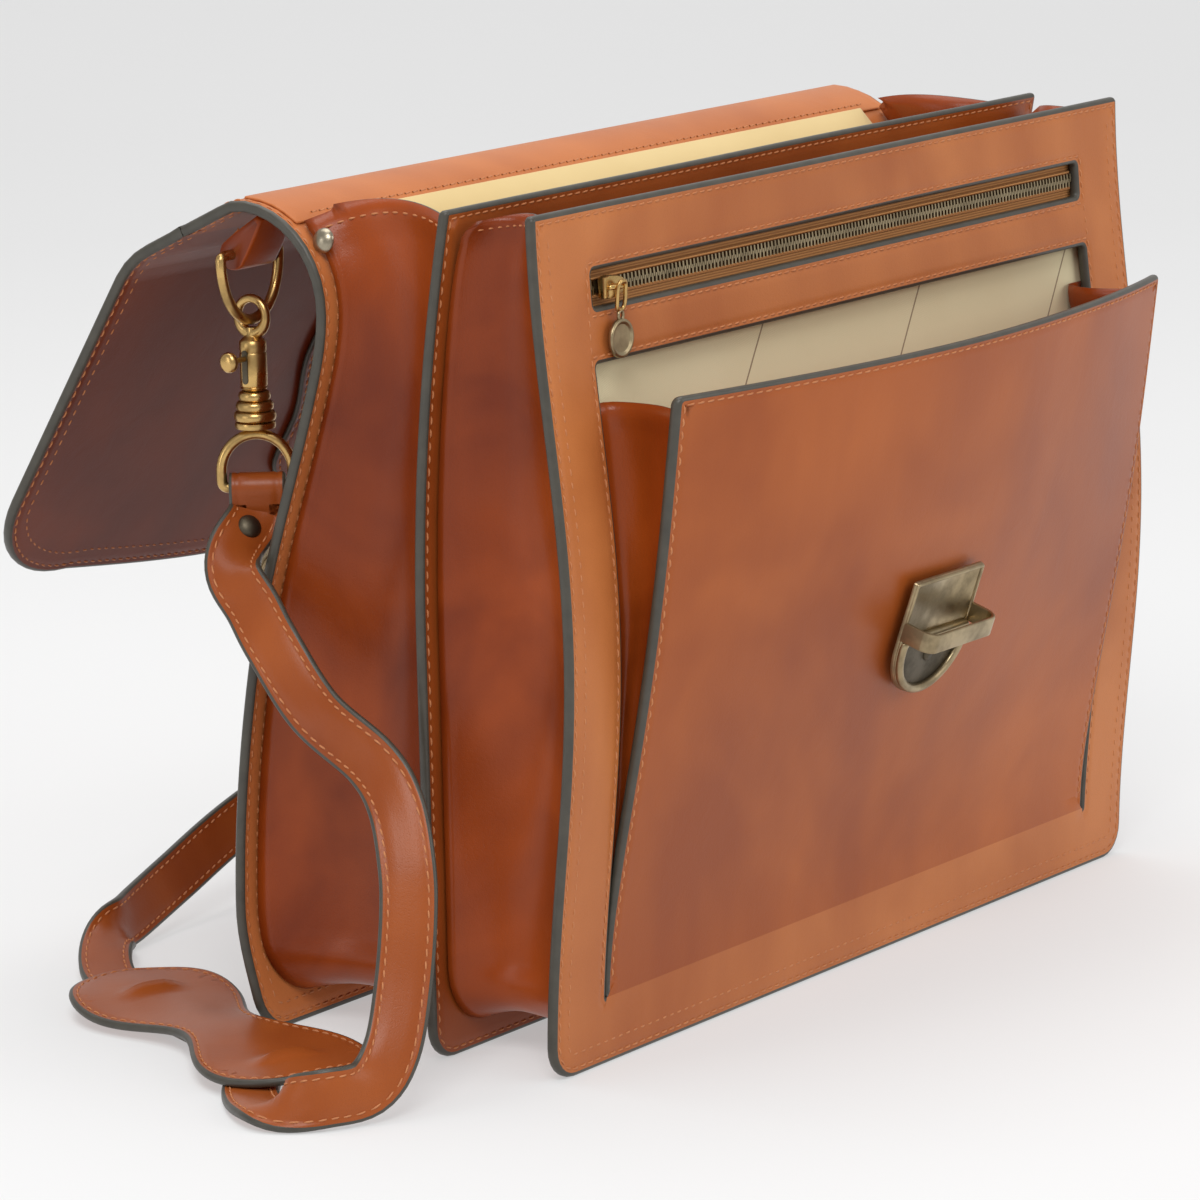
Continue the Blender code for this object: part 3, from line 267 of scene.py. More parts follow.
def inset(loop, distance):
    """The loop moved towards its left-hand side, corners mitred."""
    points = np.array(loop, float)
    before, after = points - np.roll(points, 1, 0), np.roll(points, -1, 0) - points
    sides = []
    for run in (before, after):
        length = np.maximum(np.hypot(run[:, 0], run[:, 1]), 1e-9)
        sides.append(np.stack([-run[:, 1] / length, run[:, 0] / length], 1))
    middle = sides[0] + sides[1]
    middle /= np.maximum(np.hypot(middle[:, 0], middle[:, 1]), 1e-9)[:, None]
    spread = np.maximum((middle * sides[0]).sum(1), 0.35)
    moved = points + middle * (distance / spread)[:, None]
    reversed_edges = ((np.roll(moved, -1, 0) - moved) * after).sum(1) < 0
    count = len(points)
    for n in np.flatnonzero(reversed_edges & ~np.roll(reversed_edges, 1)):
        last = n
        while reversed_edges[last % count] and last - n < count:
            last += 1
        meet = crossing(moved[n], before[n], moved[last % count], after[last % count])
        for k in range(n, last + 1):
            moved[k % count] = meet
    return moved


def turned_to(loop, anticlockwise):
    points = np.array(loop, float)
    x, y = points[:, 0], points[:, 1]
    area = (x * np.roll(y, -1) - np.roll(x, -1) * y).sum()
    return points if (area > 0) == anticlockwise else points[::-1]


def inside(loops, spots):
    """Which spots are within the first loop and outside the others."""
    odd = np.zeros(len(spots), bool)
    for loop in loops:
        x, y = loop[:, 0], loop[:, 1]
        nx, ny = np.roll(x, -1), np.roll(y, -1)
        for a, b, c, d in zip(x, y, nx, ny):
            if b == d:
                continue
            crosses = ((b > spots[:, 1]) != (d > spots[:, 1])) & (
                spots[:, 0] < (c - a) * (spots[:, 1] - b) / (d - b) + a)
            odd ^= crosses
    return odd


def dense(loop, step):
    """The loop with its long sides divided, so that it can bend."""
    out = []
    for n, a in enumerate(loop):
        b = loop[(n + 1) % len(loop)]
        pieces = max(1, math.ceil(math.dist(a, b) / step))
        out += [(a[0] + (b[0] - a[0]) * k / pieces, a[1] + (b[1] - a[1]) * k / pieces) for k in range(pieces)]
    return out


def plate(name, loops, place, thickness, materials, step=0.006, groove=0.003, bead=None, butt=None):
    """Two bonded hides cut to the loops, the edge rounded and painted, with a groove pressed under the seam.

    place(u, v, t) bends the flat cut. The materials are for the face, the edge and the back. Along v = butt
    the hide runs on into the next piece, so that edge stays square.
    """
    half = thickness / 2
    bead = bead or min(half, 0.0016)
    turn = [(bead * (1 - math.sin(a)), half - bead + bead * math.cos(a))
            for a in [math.pi / 2 * k / 3 for k in (3, 2, 1, 0)]]
    rim = list(turn)
    if groove:
        rim += [(groove - 0.0009, half), (groove, half - 0.0003)]
        rim += [(groove + 0.0009, half), (groove + 0.003, half)]
    flipped = [(i, -t) for i, t in rim[1:]] if turn[0][1] < 1e-6 else [(i, -t) for i, t in rim]
    levels = flipped[::-1] + rim
    loops = [turned_to(dense(loop, step), n == 0) for n, loop in enumerate(loops)]
    flat, lift, faces, indices = [], [], [], []
    inner_front, inner_back = [], []
    painted = len(turn)
    for loop in loops:
        count = len(loop)
        base = len(flat)
        square = np.abs(loop[:, 1] - butt) < 1e-6 if butt is not None else np.zeros(count, bool)
        for i, t in levels:
            flat += list(np.where(square[:, None], loop, inset(loop, i)))
            lift += list(np.where(square & (i > bead), math.copysign(half, t), t))
        for k in range(len(levels) - 1):
            middle = abs(k + 0.5 - (len(levels) - 1) / 2)
            index = 1 if middle < painted - 0.6 else (0 if k >= len(levels) / 2 else 2)
            for n in range(count):
                m = (n + 1) % count
                if square[n] and square[m]:
                    continue
                a, b = base + k * count, base + (k + 1) * count
                faces.append((a + n, a + m, b + m, b + n))
                indices.append(index)
        inner_back.append(base)
        inner_front.append(base + (len(levels) - 1) * count)
    sizes = [len(loop) for loop in loops]
    ring = [np.array(flat[first:first + size]) for first, size in zip(inner_front, sizes)]
    low, high = ring[0].min(0), ring[0].max(0)
    us = np.arange(low[0] + step, high[0] - step / 3, step)
    vs = np.arange(low[1] + step, high[1] - step / 3, step)
    spots = np.array([(u, v) for v in vs for u in us]) if len(us) and len(vs) else np.empty((0, 2))
    if len(spots):
        near = [inset(loop, step * 0.45) for loop in ring]
        spots = spots[inside(near, spots)]
    outline = np.concatenate(ring)
    edges, at = [], 0
    for size in sizes:
        edges += [(at + n, at + (n + 1) % size) for n in range(size)]
        at += size
    inputs = np.concatenate([outline, spots]) if len(spots) else outline
    verts, _, tris, origin, _, _ = geometry.delaunay_2d_cdt([Vector(p) for p in inputs], edges, [], 0, 1e-7)
    centres = np.array([np.mean([verts[k] for k in tri], 0) for tri in tris])
    kept = inside(ring, centres)
    for side, firsts, index in ((1, inner_front, 0), (-1, inner_back, 2)):
        lookup = {}
        for k, source in enumerate(origin):
            number = source[0] if source else None
            if number is not None and number < len(outline):
                loop_number, rest = 0, number
                while rest >= sizes[loop_number]:
                    rest -= sizes[loop_number]
                    loop_number += 1
                lookup[k] = firsts[loop_number] + rest
            else:
                lookup[k] = len(flat)
                flat.append(np.array(verts[k]))
                lift.append(side * half)
        for tri, keep in zip(tris, kept):
            if keep:
                corners = [lookup[k] for k in tri]
                faces.append(corners if side > 0 else corners[::-1])
                indices.append(index)
    points = [place(u, v, t) for (u, v), t in zip(flat, lift)]
    return shown(name, points, faces, materials, indices, flat)


def seam(name, lines, place, lift, pitch=0.0045, length=0.0031, thread=0.00042, slant=0.10, material=None):
    """Rows of stitches along lines of (u, v), each a short thread that dives into the hide at both ends."""
    points, faces = [], []
    sides, rings = 5, 5
    for line in lines:
        spots = [Vector(p) for p in line]
        lengths = [(b - a).length for a, b in zip(spots, spots[1:])]
        total = sum(lengths)
        count = max(1, round(total / pitch))
        for n in range(count):
            s = (n + 0.5) * total / count
            k = 0
            while k < len(lengths) - 1 and s > lengths[k]:
                s -= lengths[k]
                k += 1
            run = (spots[k + 1] - spots[k]).normalized()
            middle = spots[k] + run * s
            tilt = Matrix.Rotation(slant, 2) @ run
            across = Vector((-tilt.y, tilt.x))
            base = len(points)
            sign = 1 if lift > 0 else -1
            for r in range(rings):
                w = r / (rings - 1)
                rise = thread * (1.0 - (2 * w - 1) ** 4 * 1.9)
                wide = thread * (1.0 - 0.25 * (2 * w - 1) ** 2)
                for q in range(sides):
                    a = math.tau * q / sides
                    spot = middle + tilt * (w - 0.5) * length + across * wide * math.cos(a)
                    points.append(place(spot.x, spot.y, lift + sign * (rise * 0.55 + wide * math.sin(a))))
            for r in range(rings - 1):
                for q in range(sides):
                    p = (q + 1) % sides
                    low, high = base + r * sides, base + (r + 1) * sides
                    quad = (low + q, low + p, high + p, high + q)
                    faces.append(quad if sign > 0 else quad[::-1])
    return shown(name, points, faces, [material or THREAD])


def arc(middle, radius, start, end, count=6):
    angles = [math.radians(start + (end - start) * n / count) for n in range(count + 1)]
    return [(middle[0] + radius * math.cos(a), middle[1] + radius * math.sin(a)) for a in angles]


def window(left, foot, right, top, foot_radius=0.0, top_radius=0.0):
    """A rectangle, anticlockwise from its foot, with rounded corners."""
    f, t = foot_radius or 0.0003, top_radius or 0.0003
    return (arc((right - f, foot + f), f, -90, 0) + arc((right - t, top - t), t, 0, 90)
            + arc((left + t, top - t), t, 90, 180) + arc((left + f, foot + f), f, 180, 270))


# ---- the strap
# Two hides bonded and stitched along both edges, painted grey-brown, 20 mm wide; it hangs from the left hook,
# comes forward to the floor, passes under the shoulder pad and goes round behind the case to the right hook.
FRONT_ROUTE = [
    ((-0.1775, 0.0808, 0.1882), 1), ((-0.1812, 0.0800, 0.1838), 1), ((-0.1935, 0.0785, 0.1760), 1),
    ((-0.2035, 0.0715, 0.1685), 1), ((-0.2075, 0.0605, 0.1590), 1), ((-0.212, 0.0490, 0.1480), 1),
    ((-0.215, 0.0290, 0.1270), 1), ((-0.2185, 0.002, 0.1125), 1), ((-0.222, -0.0105, 0.1), 1),
    ((-0.228, -0.019, 0.082), 1), ((-0.233, -0.023, 0.066), 1), ((-0.241, -0.026, 0.043), 1),
    ((-0.251, -0.028, 0.023), 1), ((-0.262, -0.026, 0.0125), 0.95), ((-0.276, -0.018, 0.0108), 0.85),
    ((-0.282, -0.004, 0.0080), 0.5), ((-0.276, 0.010, 0.0040), 0.12), ((-0.262, 0.025, 0.0023), 0),
    ((-0.243, 0.039, 0.0021), 0), ((-0.229, 0.053, 0.0021), 0), ((-0.2124, 0.0782, 0.0021), 0),
]
REAR_ROUTE = [
    ((0.1767, 0.0812, 0.1896), 1), ((0.1755, 0.089, 0.175), 1), ((0.162, 0.128, 0.135), 1),
    ((0.122, 0.162, 0.100), 1), ((0.068, 0.186, 0.071), 1), ((0.012, 0.199, 0.048), 1),
    ((-0.045, 0.203, 0.031), 1), ((-0.088, 0.200, 0.0185), 1), ((-0.120, 0.194, 0.0120), 1),
    ((-0.138, 0.188, 0.0108), 0.9), ((-0.153, 0.180, 0.0085), 0.6), ((-0.166, 0.169, 0.0045), 0.2),
    ((-0.175, 0.156, 0.0023), 0), ((-0.186, 0.135, 0.0021), 0), ((-0.2116, 0.0798, 0.0021), 0),
]
STRAP_WIDTH = 0.020
STRAP_THICK = 0.0034
STRAP_FACING = Vector((-0.810, -0.587, 0))


def follow(points, count):
    """Even points along a smooth curve through the route, with the turn at each."""
    curve = []
    places = [Vector(p) for p, _ in points]
    turns = [t for _, t in points]
    for n in range(len(places) - 1):
        a, b, c, d = places[max(n - 1, 0)], places[n], places[n + 1], places[min(n + 2, len(places) - 1)]
        for k in range(16):
            s = k / 16
            spot = 0.5 * (2 * b + (c - a) * s + (2 * a - 5 * b + 4 * c - d) * s ** 2
                          + (3 * b - a - 3 * c + d) * s ** 3)
            curve.append((spot, turns[n] + (turns[n + 1] - turns[n]) * s))
    curve.append((places[-1], turns[-1]))
    walked = [0.0]
    for (a, _), (b, _) in zip(curve, curve[1:]):
        walked.append(walked[-1] + (b - a).length)
    even, n = [], 0
    for k in range(count + 1):
        target = walked[-1] * k / count
        while n < len(curve) - 2 and walked[n + 1] < target:
            n += 1
        share = (target - walked[n]) / (walked[n + 1] - walked[n])
        even.append((curve[n][0].lerp(curve[n + 1][0], share),
                     curve[n][1] + (curve[n + 1][1] - curve[n][1]) * share))
    return even, walked[-1]


def strap_section():
    """Half-round painted edges and flat faces, as (across, through), and each side's material."""
    half, thick = STRAP_WIDTH / 2, STRAP_THICK / 2
    edge = 0.0013
    right_edge = [(half - edge + edge * math.cos(a),
                   (thick - edge) * (1 if a >= 0 else -1) + edge * math.sin(a))
                  for a in [math.radians(d) for d in (-90, -55, -20, 20, 55, 90)]]
    face = [(half - 0.0040, thick), (half - 0.0031, thick - 0.0003), (half - 0.0022, thick)][::-1]
    top = face + [(0.0025, thick + 0.0001), (-0.0025, thick + 0.0001)] + [(-u, t) for u, t in face[::-1]]
    left_edge = [(-u, -t) for u, t in right_edge]
    foot = [(-u, -t) for u, t in top]
    ring = right_edge + top + left_edge + foot
    kinds = [1] * 5 + [0] * (len(top) + 1) + [1] * 5 + [2] * (len(foot) + 1)
    return ring, kinds


def ringed(count, size, flip=False):
    """The faces of a solid made of rings of one size, with both its ends capped."""
    faces = []
    for n in range(count - 1):
        a, b = n * size, (n + 1) * size
        for k in range(size):
            m = (k + 1) % size
            faces.append((a + k, a + m, b + m, b + k))
    faces += [tuple(range(size))[::-1], tuple(range((count - 1) * size, count * size))]
    return [face[::-1] for face in faces] if flip else faces


def strap_run(name, route, count):
    line, length = follow(route, count)
    spots = [spot for spot, _ in line]
    frames = []
    for n, (spot, turn) in enumerate(line):
        run = (spots[min(n + 1, count)] - spots[max(n - 1, 0)]).normalized()
        facing = Vector((0, 0, 1)).lerp(STRAP_FACING, turn)
        across = run.cross(facing).normalized()
        frames.append((spot, across, across.cross(run).normalized()))
    ring, kinds = strap_section()
    points = []
    for spot, across, out in frames:
        points += [spot + across * u + out * t for u, t in ring]
    faces = ringed(count + 1, len(ring), flip=True)
    piece = shown(name, points, faces, [GRAIN, EDGE, GRAIN], kinds * count + [1, 1])

    def on_strap(u, v, t):
        s = min(max(v / length * count, 0), count - 1e-6)
        n = int(s)
        (a, p, q), (b, r, o) = frames[n], frames[n + 1]
        k = s - n
        return a.lerp(b, k) + p.lerp(r, k).normalized() * u + q.lerp(o, k).normalized() * t
    row_in = STRAP_WIDTH / 2 - 0.0031
    rows = [[(side * row_in, length * n / 60 + (0.004 if n == 0 else 0)) for n in range(61)]
            for side in (-1, 1)]
    for side, label in ((1, "front"), (-1, "back")):
        stitches = seam(name + "_stitches_" + label, rows, on_strap, side * (STRAP_THICK / 2 - 0.0003),
                        0.0042, 0.0027, 0.00040)
        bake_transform(stitches)
    return piece, spots, length


left_strap, left_line, left_length = strap_run("strap_left", FRONT_ROUTE, 150)
right_strap, right_line, right_length = strap_run("strap_right", REAR_ROUTE, 190)
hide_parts("strap_front_run")
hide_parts("strap_rear_run")
for piece, hook, line, length in ((left_strap, "hook_left", left_line, left_length),
                                  (right_strap, "hook_right", right_line, right_length)):
    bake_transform(piece)
    tuple(line[0])
    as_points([tuple(p) for p in line[::2]] + [tuple(line[-1])])


# ---- the divider
# Two bonded hides standing between the compartments, stitched all round, its top edge leaning forward and
# slightly waved where it has been handled.
low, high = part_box("divider_panel")
HALF_WIDTH = high[0]
HEIGHT = high[2]
HIDE_THICK = 0.004
FOOT_RADIUS = 0.012


def wave(u, z, size, phase):
    """The slow waves of a free top edge."""
    lift = max(0.0, z / HEIGHT - 0.55) / 0.45
    return size * lift ** 2 * math.sin(u * 21 + phase) * math.cos(u * 9 - phase)


def divider_wall(u, z):
    half = HEIGHT / 2
    return -0.015 * max(0.0, (z - half) / half) ** 2 + wave(u, z, 0.0011, 0.6)


def on_divider(u, v, t):
    return Vector((u, divider_wall(u, v) - t, v))


def border(left, foot, right, top, corner, inner):
    """A stitch line just inside a panel's edge: down the left, along the foot and up the right."""
    path = [(left + inner, top - inner)] + arc((left + corner, foot + corner), corner - inner, 180, 270)
    path += arc((right - corner, foot + corner), corner - inner, 270, 360)
    return path + [(right - inner, top - inner)]


SEAM_IN = 0.0030
ROW_APART = 0.0052
panel_cut = window(-HALF_WIDTH, 0, HALF_WIDTH, HEIGHT, FOOT_RADIUS, 0.002)


def walled_panel(name, body, place, top, finish):
    """The outline cut, with its border sewn through on both faces; returns the panel."""
    panel = plate(name, [panel_cut], place, HIDE_THICK, [finish, EDGE, finish])
    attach(panel, body)
    border_line = border(-HALF_WIDTH, 0, HALF_WIDTH, top, FOOT_RADIUS, SEAM_IN)
    top_line = [(-HALF_WIDTH + SEAM_IN, top - SEAM_IN), (HALF_WIDTH - SEAM_IN, top - SEAM_IN)]
    for side, label in ((1, "front"), (-1, "back")):
        rows = seam(name + "_stitches_" + label, [border_line, dense_line(top_line)], place,
                    side * (HIDE_THICK / 2 - 0.0003))
        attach(rows, body)
    return panel


def dense_line(line, step=0.006):
    out = []
    for a, b in zip(line, line[1:]):
        pieces = max(1, math.ceil(math.dist(a, b) / step))
        out += [(a[0] + (b[0] - a[0]) * k / pieces, a[1] + (b[1] - a[1]) * k / pieces) for k in range(pieces)]
    return out + [line[-1]]


divider = walled_panel("divider", "divider", on_divider, HEIGHT, GRAIN)
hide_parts("divider_panel")


# ---- the front panel and its pocket
# The same bonded hides, bowed out by what the case holds. A zip window is cut near the top, and below it the
# pocket's front is cut free on three sides, so that it folds out of the panel along its foot.
SLIT_X = 0.162
SLIT_FOOT = 0.024
WINDOW_TOP = 0.246
POCKET_TOP = 0.240
ZIP_X = 0.160
ZIP_Z = 0.2715
ZIP_HALF = 0.00625
POCKET_LEAN = math.radians(9.0)
POCKET_BOW = 0.022
FOLD_SLOPE = 0.1797
FOLD_EASE = 0.03
PANEL_BOW = 0.011
FRONT_Y = -0.0513


def front_wall(u, z):
    rise = min(max(z / HEIGHT, 0), 1)
    return FRONT_Y - PANEL_BOW * math.sin(math.pi * rise) ** 2 + wave(u, z, 0.0008, 2.1)


def on_front(u, v, t):
    return Vector((u, front_wall(u, v) - t, v))


def on_pocket(u, v, t):
    up = v - SLIT_FOOT
    rise = min(max(up / (POCKET_TOP - SLIT_FOOT), 0), 1)
    across = 1 - min(abs(u) / SLIT_X, 1) ** 2
    swell = POCKET_BOW * across * math.sin(rise * math.pi / 2) ** 2
    leaning = FOLD_SLOPE * (math.sqrt(up * up + FOLD_EASE ** 2) - FOLD_EASE) if up > 0 else 0
    bow_at_foot = math.sin(math.pi * SLIT_FOOT / HEIGHT) ** 2
    foot = FRONT_Y - PANEL_BOW * bow_at_foot
    bulge = PANEL_BOW * (math.sin(math.pi * v / HEIGHT) ** 2 - bow_at_foot) * 0.45
    ripple = 0.0010 * rise * math.sin(u * 26 + 1.0) * math.sin(u * 7 + v * 12)
    lie = min(up / 0.02, 1) if up > 0 else 0
    y = foot - leaning - bulge - swell - ripple * lie
    return Vector((u, y - t, SLIT_FOOT + math.cos(POCKET_LEAN) * up))


zip_cut = window(-ZIP_X, ZIP_Z - ZIP_HALF, ZIP_X, ZIP_Z + ZIP_HALF, 0.0015, 0.0015)
pocket_cut = window(-SLIT_X, SLIT_FOOT, SLIT_X, WINDOW_TOP, 0, 0.0015)
# The front panel's face takes the lighter copy of the hide: painted light.
front = plate("front", [panel_cut, zip_cut, pocket_cut], on_front, HIDE_THICK,
              [PAINTED_LIGHT_GRAIN, EDGE, INNER_GRAIN], butt=SLIT_FOOT)
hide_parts("front_panel")
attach(front, "front")
rows = []
for inner in (SEAM_IN, SEAM_IN + ROW_APART):
    rows.append(dense_line(border(-HALF_WIDTH, 0, HALF_WIDTH, HEIGHT, FOOT_RADIUS, inner)))
rows.append(dense_line([(-HALF_WIDTH + SEAM_IN, HEIGHT - SEAM_IN), (HALF_WIDTH - SEAM_IN, HEIGHT - SEAM_IN)]))
out = 0.0028
rows.append(dense_line([(-ZIP_X - out, ZIP_Z + ZIP_HALF + out), (ZIP_X + out, ZIP_Z + ZIP_HALF + out)]))
rows.append(dense_line([(-ZIP_X - out, ZIP_Z - ZIP_HALF - out), (ZIP_X + out, ZIP_Z - ZIP_HALF - out)]))
rows.append(dense_line([(-SLIT_X - out, WINDOW_TOP + out), (SLIT_X + out, WINDOW_TOP + out)]))
for side in (-1, 1):
    rows.append(dense_line([(side * (ZIP_X + out), ZIP_Z + ZIP_HALF + out),
                            (side * (SLIT_X + out), WINDOW_TOP),
                            (side * (SLIT_X + out), SLIT_FOOT + 0.004)]))
stitches = seam("front_stitches", rows, on_front, HIDE_THICK / 2 - 0.0003)
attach(stitches, "front")
inner_rows = seam("front_stitches_inside", rows[:1] + rows[2:3], on_front, -HIDE_THICK / 2 + 0.0003)
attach(inner_rows, "front")

tongue_cut = window(-SLIT_X + 0.0004, SLIT_FOOT, SLIT_X - 0.0004, POCKET_TOP, 0, 0.003)
pocket = plate("pocket", [tongue_cut], on_pocket, HIDE_THICK, [FRONT_GRAIN, EDGE, INNER_GRAIN],
               butt=SLIT_FOOT)
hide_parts("pocket_front")
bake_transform(pocket)
edge_x = SLIT_X - 0.0004 - SEAM_IN
pocket_rows = [dense_line([(-edge_x, SLIT_FOOT + 0.006), (-edge_x, POCKET_TOP - SEAM_IN),
                           (edge_x, POCKET_TOP - SEAM_IN), (edge_x, SLIT_FOOT + 0.006)])]
for side, label in ((1, "front"), (-1, "back")):
    rows = seam("pocket_stitches_" + label, pocket_rows, on_pocket, side * (HIDE_THICK / 2 - 0.0003))
    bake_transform(rows)


# ---- the linings
# Cream cotton twill glued to the back panel and the divider, and hung loose behind the zip for the inner
# pocket. The band above the back one is a strip of hide that runs up over the roll.
def cloth_finish(name, light, dark, lines=False):
    material, tree, shader = surface(name)
    place = tree.nodes.new("ShaderNodeTexCoord").outputs["Object"]
    cloud = put(tree, "TexNoise", [("Vector", place)], Scale=16.0, Detail=3.0)
    colour = blend_colour(tree, cloud.outputs[0], (*dark, 1), (*light, 1))
    turned_weave = put(tree, "Mapping", [("Vector", place)], Rotation=(0, math.radians(38), 0))
    weave = put(tree, "TexWave", [("Vector", turned_weave.outputs[0])], Scale=520.0, Distortion=1.5,
                Detail=1.0)
    colour = blend_colour(tree, math_node(tree, "MULTIPLY", weave.outputs[1], 0.16), colour, (*dark, 1))
    if lines:
        parts = put(tree, "SeparateXYZ", [("Vector", place)])
        slope = math_node(tree, "MULTIPLY_ADD", parts.outputs[0], 0.802,
                          math_node(tree, "MULTIPLY", parts.outputs[2], -0.598))
        ladder = math_node(tree, "PINGPONG", math_node(tree, "ADD", slope, 0.021), 0.042)
        thin = math_node(tree, "LESS_THAN", ladder, 0.0004)
        colour = blend_colour(tree, math_node(tree, "MULTIPLY", thin, 0.75), colour, (0.12, 0.05, 0.02, 1))
    tree.links.new(colour, shader.inputs["Base Color"])
    relief = put(tree, "Bump", [("Height", weave.outputs[1])], Strength=0.25, Distance=0.0002)
    tree.links.new(relief.outputs[0], shader.inputs["Normal"])
    shader.inputs["Roughness"].default_value = 0.85
    shader.inputs["Sheen Weight"].default_value = 0.25
    return material


CREAM = cloth_finish("cream twill", (0.80, 0.62, 0.30), (0.66, 0.48, 0.20))
POCKET_CREAM = cloth_finish("pale lined twill", (0.78, 0.70, 0.46), (0.66, 0.57, 0.34), lines=True)
CLOTH = 0.001
TAPE_THICK = 0.0008
GAP = 0.0004
GUSSET_INSET = 0.008
GUSSET_FOLD = 0.013
skin = HIDE_THICK / 2 + GAP
lining_half = HALF_WIDTH - GUSSET_INSET - GUSSET_FOLD
CURL_START = HEIGHT - 0.038
CURL_RADIUS = 0.0345
BACK_KNOTS = [(0.0, 0.0745), (0.045, 0.0840), (0.144, 0.0720), (0.240, 0.0425), (CURL_START, 0.0390)]
CURL_Y = BACK_KNOTS[-1][1] + CURL_RADIUS
BACK_TOP = CURL_START + CURL_RADIUS * math.pi / 2


def back_wall(z):
    """The back panel's leaning wall, a cubic through its knots."""
    last = len(BACK_KNOTS) - 1
    n = max(k for k in range(last) if BACK_KNOTS[k][0] <= z or k == 0)
    (low_z, a), (high_z, b) = BACK_KNOTS[n], BACK_KNOTS[n + 1]

    def slope(k):
        if k == last:
            return 0.0
        (z0, y0), (z1, y1) = BACK_KNOTS[max(k - 1, 0)], BACK_KNOTS[min(k + 1, last)]
        return (y1 - y0) / (z1 - z0)
    span = high_z - low_z
    s = (z - low_z) / span
    return ((2 * s ** 3 - 3 * s ** 2 + 1) * a + (s ** 3 - 2 * s ** 2 + s) * span * slope(n)
            + (3 * s ** 2 - 2 * s ** 3) * b + (s ** 3 - s ** 2) * span * slope(n + 1))


FLAP_TOP = 0.0550
TOP_SLOPE = math.radians(25)
DROP_SLOPE = math.radians(58)
FOLD_SOFT = 0.009


def hide_line(v):
    """Distance up the back hide, over the roll and down the flap, to its (y, z) and the way it faces."""
    if v <= CURL_START:
        slope = (back_wall(v + 0.0005) - back_wall(v - 0.0005)) / 0.001 if v > 0.001 else 0.0
        return Vector((back_wall(max(v, 0)), v)), Vector((-1, slope)).normalized()
    if v <= BACK_TOP:
        angle = (v - CURL_START) / CURL_RADIUS
        facing = Vector((-math.cos(angle), math.sin(angle)))
        return Vector((CURL_Y, CURL_START)) + facing * CURL_RADIUS, facing
    spot = Vector((CURL_Y, CURL_START + CURL_RADIUS))
    walked, step = v - BACK_TOP, 0.001
    bend_at = FLAP_TOP
    full = min(walked, bend_at - FOLD_SOFT)
    ease = 0.006
    s = 0.0
    while s < full - 1e-9:
        d = min(step, full - s)
        angle = TOP_SLOPE * min((s + d / 2) / ease, 1)
        spot += Vector((math.cos(angle), -math.sin(angle))) * d
        s += d
    if walked > full:
        s = full
        while s < walked - 1e-9:
            d = min(step if s < bend_at + FOLD_SOFT else walked - s, walked - s)
            share = min(max((s + d / 2 - bend_at + FOLD_SOFT) / (2 * FOLD_SOFT), 0), 1)
            angle = TOP_SLOPE + (DROP_SLOPE - TOP_SLOPE) * share
            spot += Vector((math.cos(angle), -math.sin(angle))) * d
            s += d
    share = min(max((walked - bend_at + FOLD_SOFT) / (2 * FOLD_SOFT), 0), 1)
    angle = TOP_SLOPE * min(walked / ease, 1) + (DROP_SLOPE - TOP_SLOPE) * share
    return spot, Vector((math.sin(angle), math.cos(angle)))


hide_places = {}


def on_back(u, v, t):
    """Bend onto the back hide; t is towards the lining side."""
    key = round(v * 50000)
    if key not in hide_places:
        hide_places[key] = hide_line(key / 50000)
    middle, facing = hide_places[key]
    spot = middle + facing * t
    return Vector((u, spot.x, spot.y))


def lifted(place, lift):
    """The same bend, lift higher."""
    return lambda u, v, t: place(u, v, t + lift)


def lining(name, top, place, body, finish, node, foot=0.020):
    cut = window(-lining_half, foot, lining_half, top, 0.016, 0.0005)
    cloth = plate(name, [cut], place, CLOTH, [finish, finish, finish], step=0.012, groove=None, bead=0.0004)
    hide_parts(node)
    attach(cloth, body)


FACING_FOOT = HEIGHT - 0.0065
lining("lining_back", FACING_FOOT + 0.001, lifted(on_back, skin + 0.0006 + CLOTH / 2), "back", CREAM,
       "back_lining")
for side, label in ((1, "front"), (-1, "back")):
    lining("lining_divider_" + label, HEIGHT - 0.018, lifted(on_divider, side * (skin + CLOTH / 2)),
           "divider", CREAM, "divider_lining_" + label)
behind = -(skin + TAPE_THICK + GAP + CLOTH / 2)
lining("lining_pocket", HEIGHT - 0.014, lifted(on_front, behind), "front", POCKET_CREAM, "pocket_lining")
lining("lining_front", HEIGHT - 0.014, lifted(on_front, behind - CLOTH - 0.0012), "front", CREAM,
       "front_lining")
band_cut = window(-HALF_WIDTH + 0.0045, FACING_FOOT, HALF_WIDTH - 0.0045, BACK_TOP + 0.0005, 0.001, 0.001)
band = plate("facing_band", [band_cut], lifted(on_back, HIDE_THICK / 2 + 0.0005), 0.0011,
             [INNER_GRAIN, INNER_GRAIN, INNER_GRAIN], groove=None)
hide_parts("back_facing")
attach(band, "back")
line = dense_line([(-HALF_WIDTH + 0.0155, FACING_FOOT + 0.0035), (HALF_WIDTH - 0.0155, FACING_FOOT + 0.0035)])
rows = seam("facing_band_stitches", [line], lifted(on_back, HIDE_THICK / 2 + 0.0011), -0.0002)
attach(rows, "back")


# ---- the back hide and the flap
# One bonded hide is the case's back, rolls over the top of it and runs on as the flap, here thrown open
# behind. It is cut at the middle of the flap's top.
FLAP_CUT = BACK_TOP + FLAP_TOP / 2
FOLD_AT = BACK_TOP + FLAP_TOP
FLAP_SIDE = 0.108
FLAP_DROP = 0.1625
FLAP_CORNER = 0.050


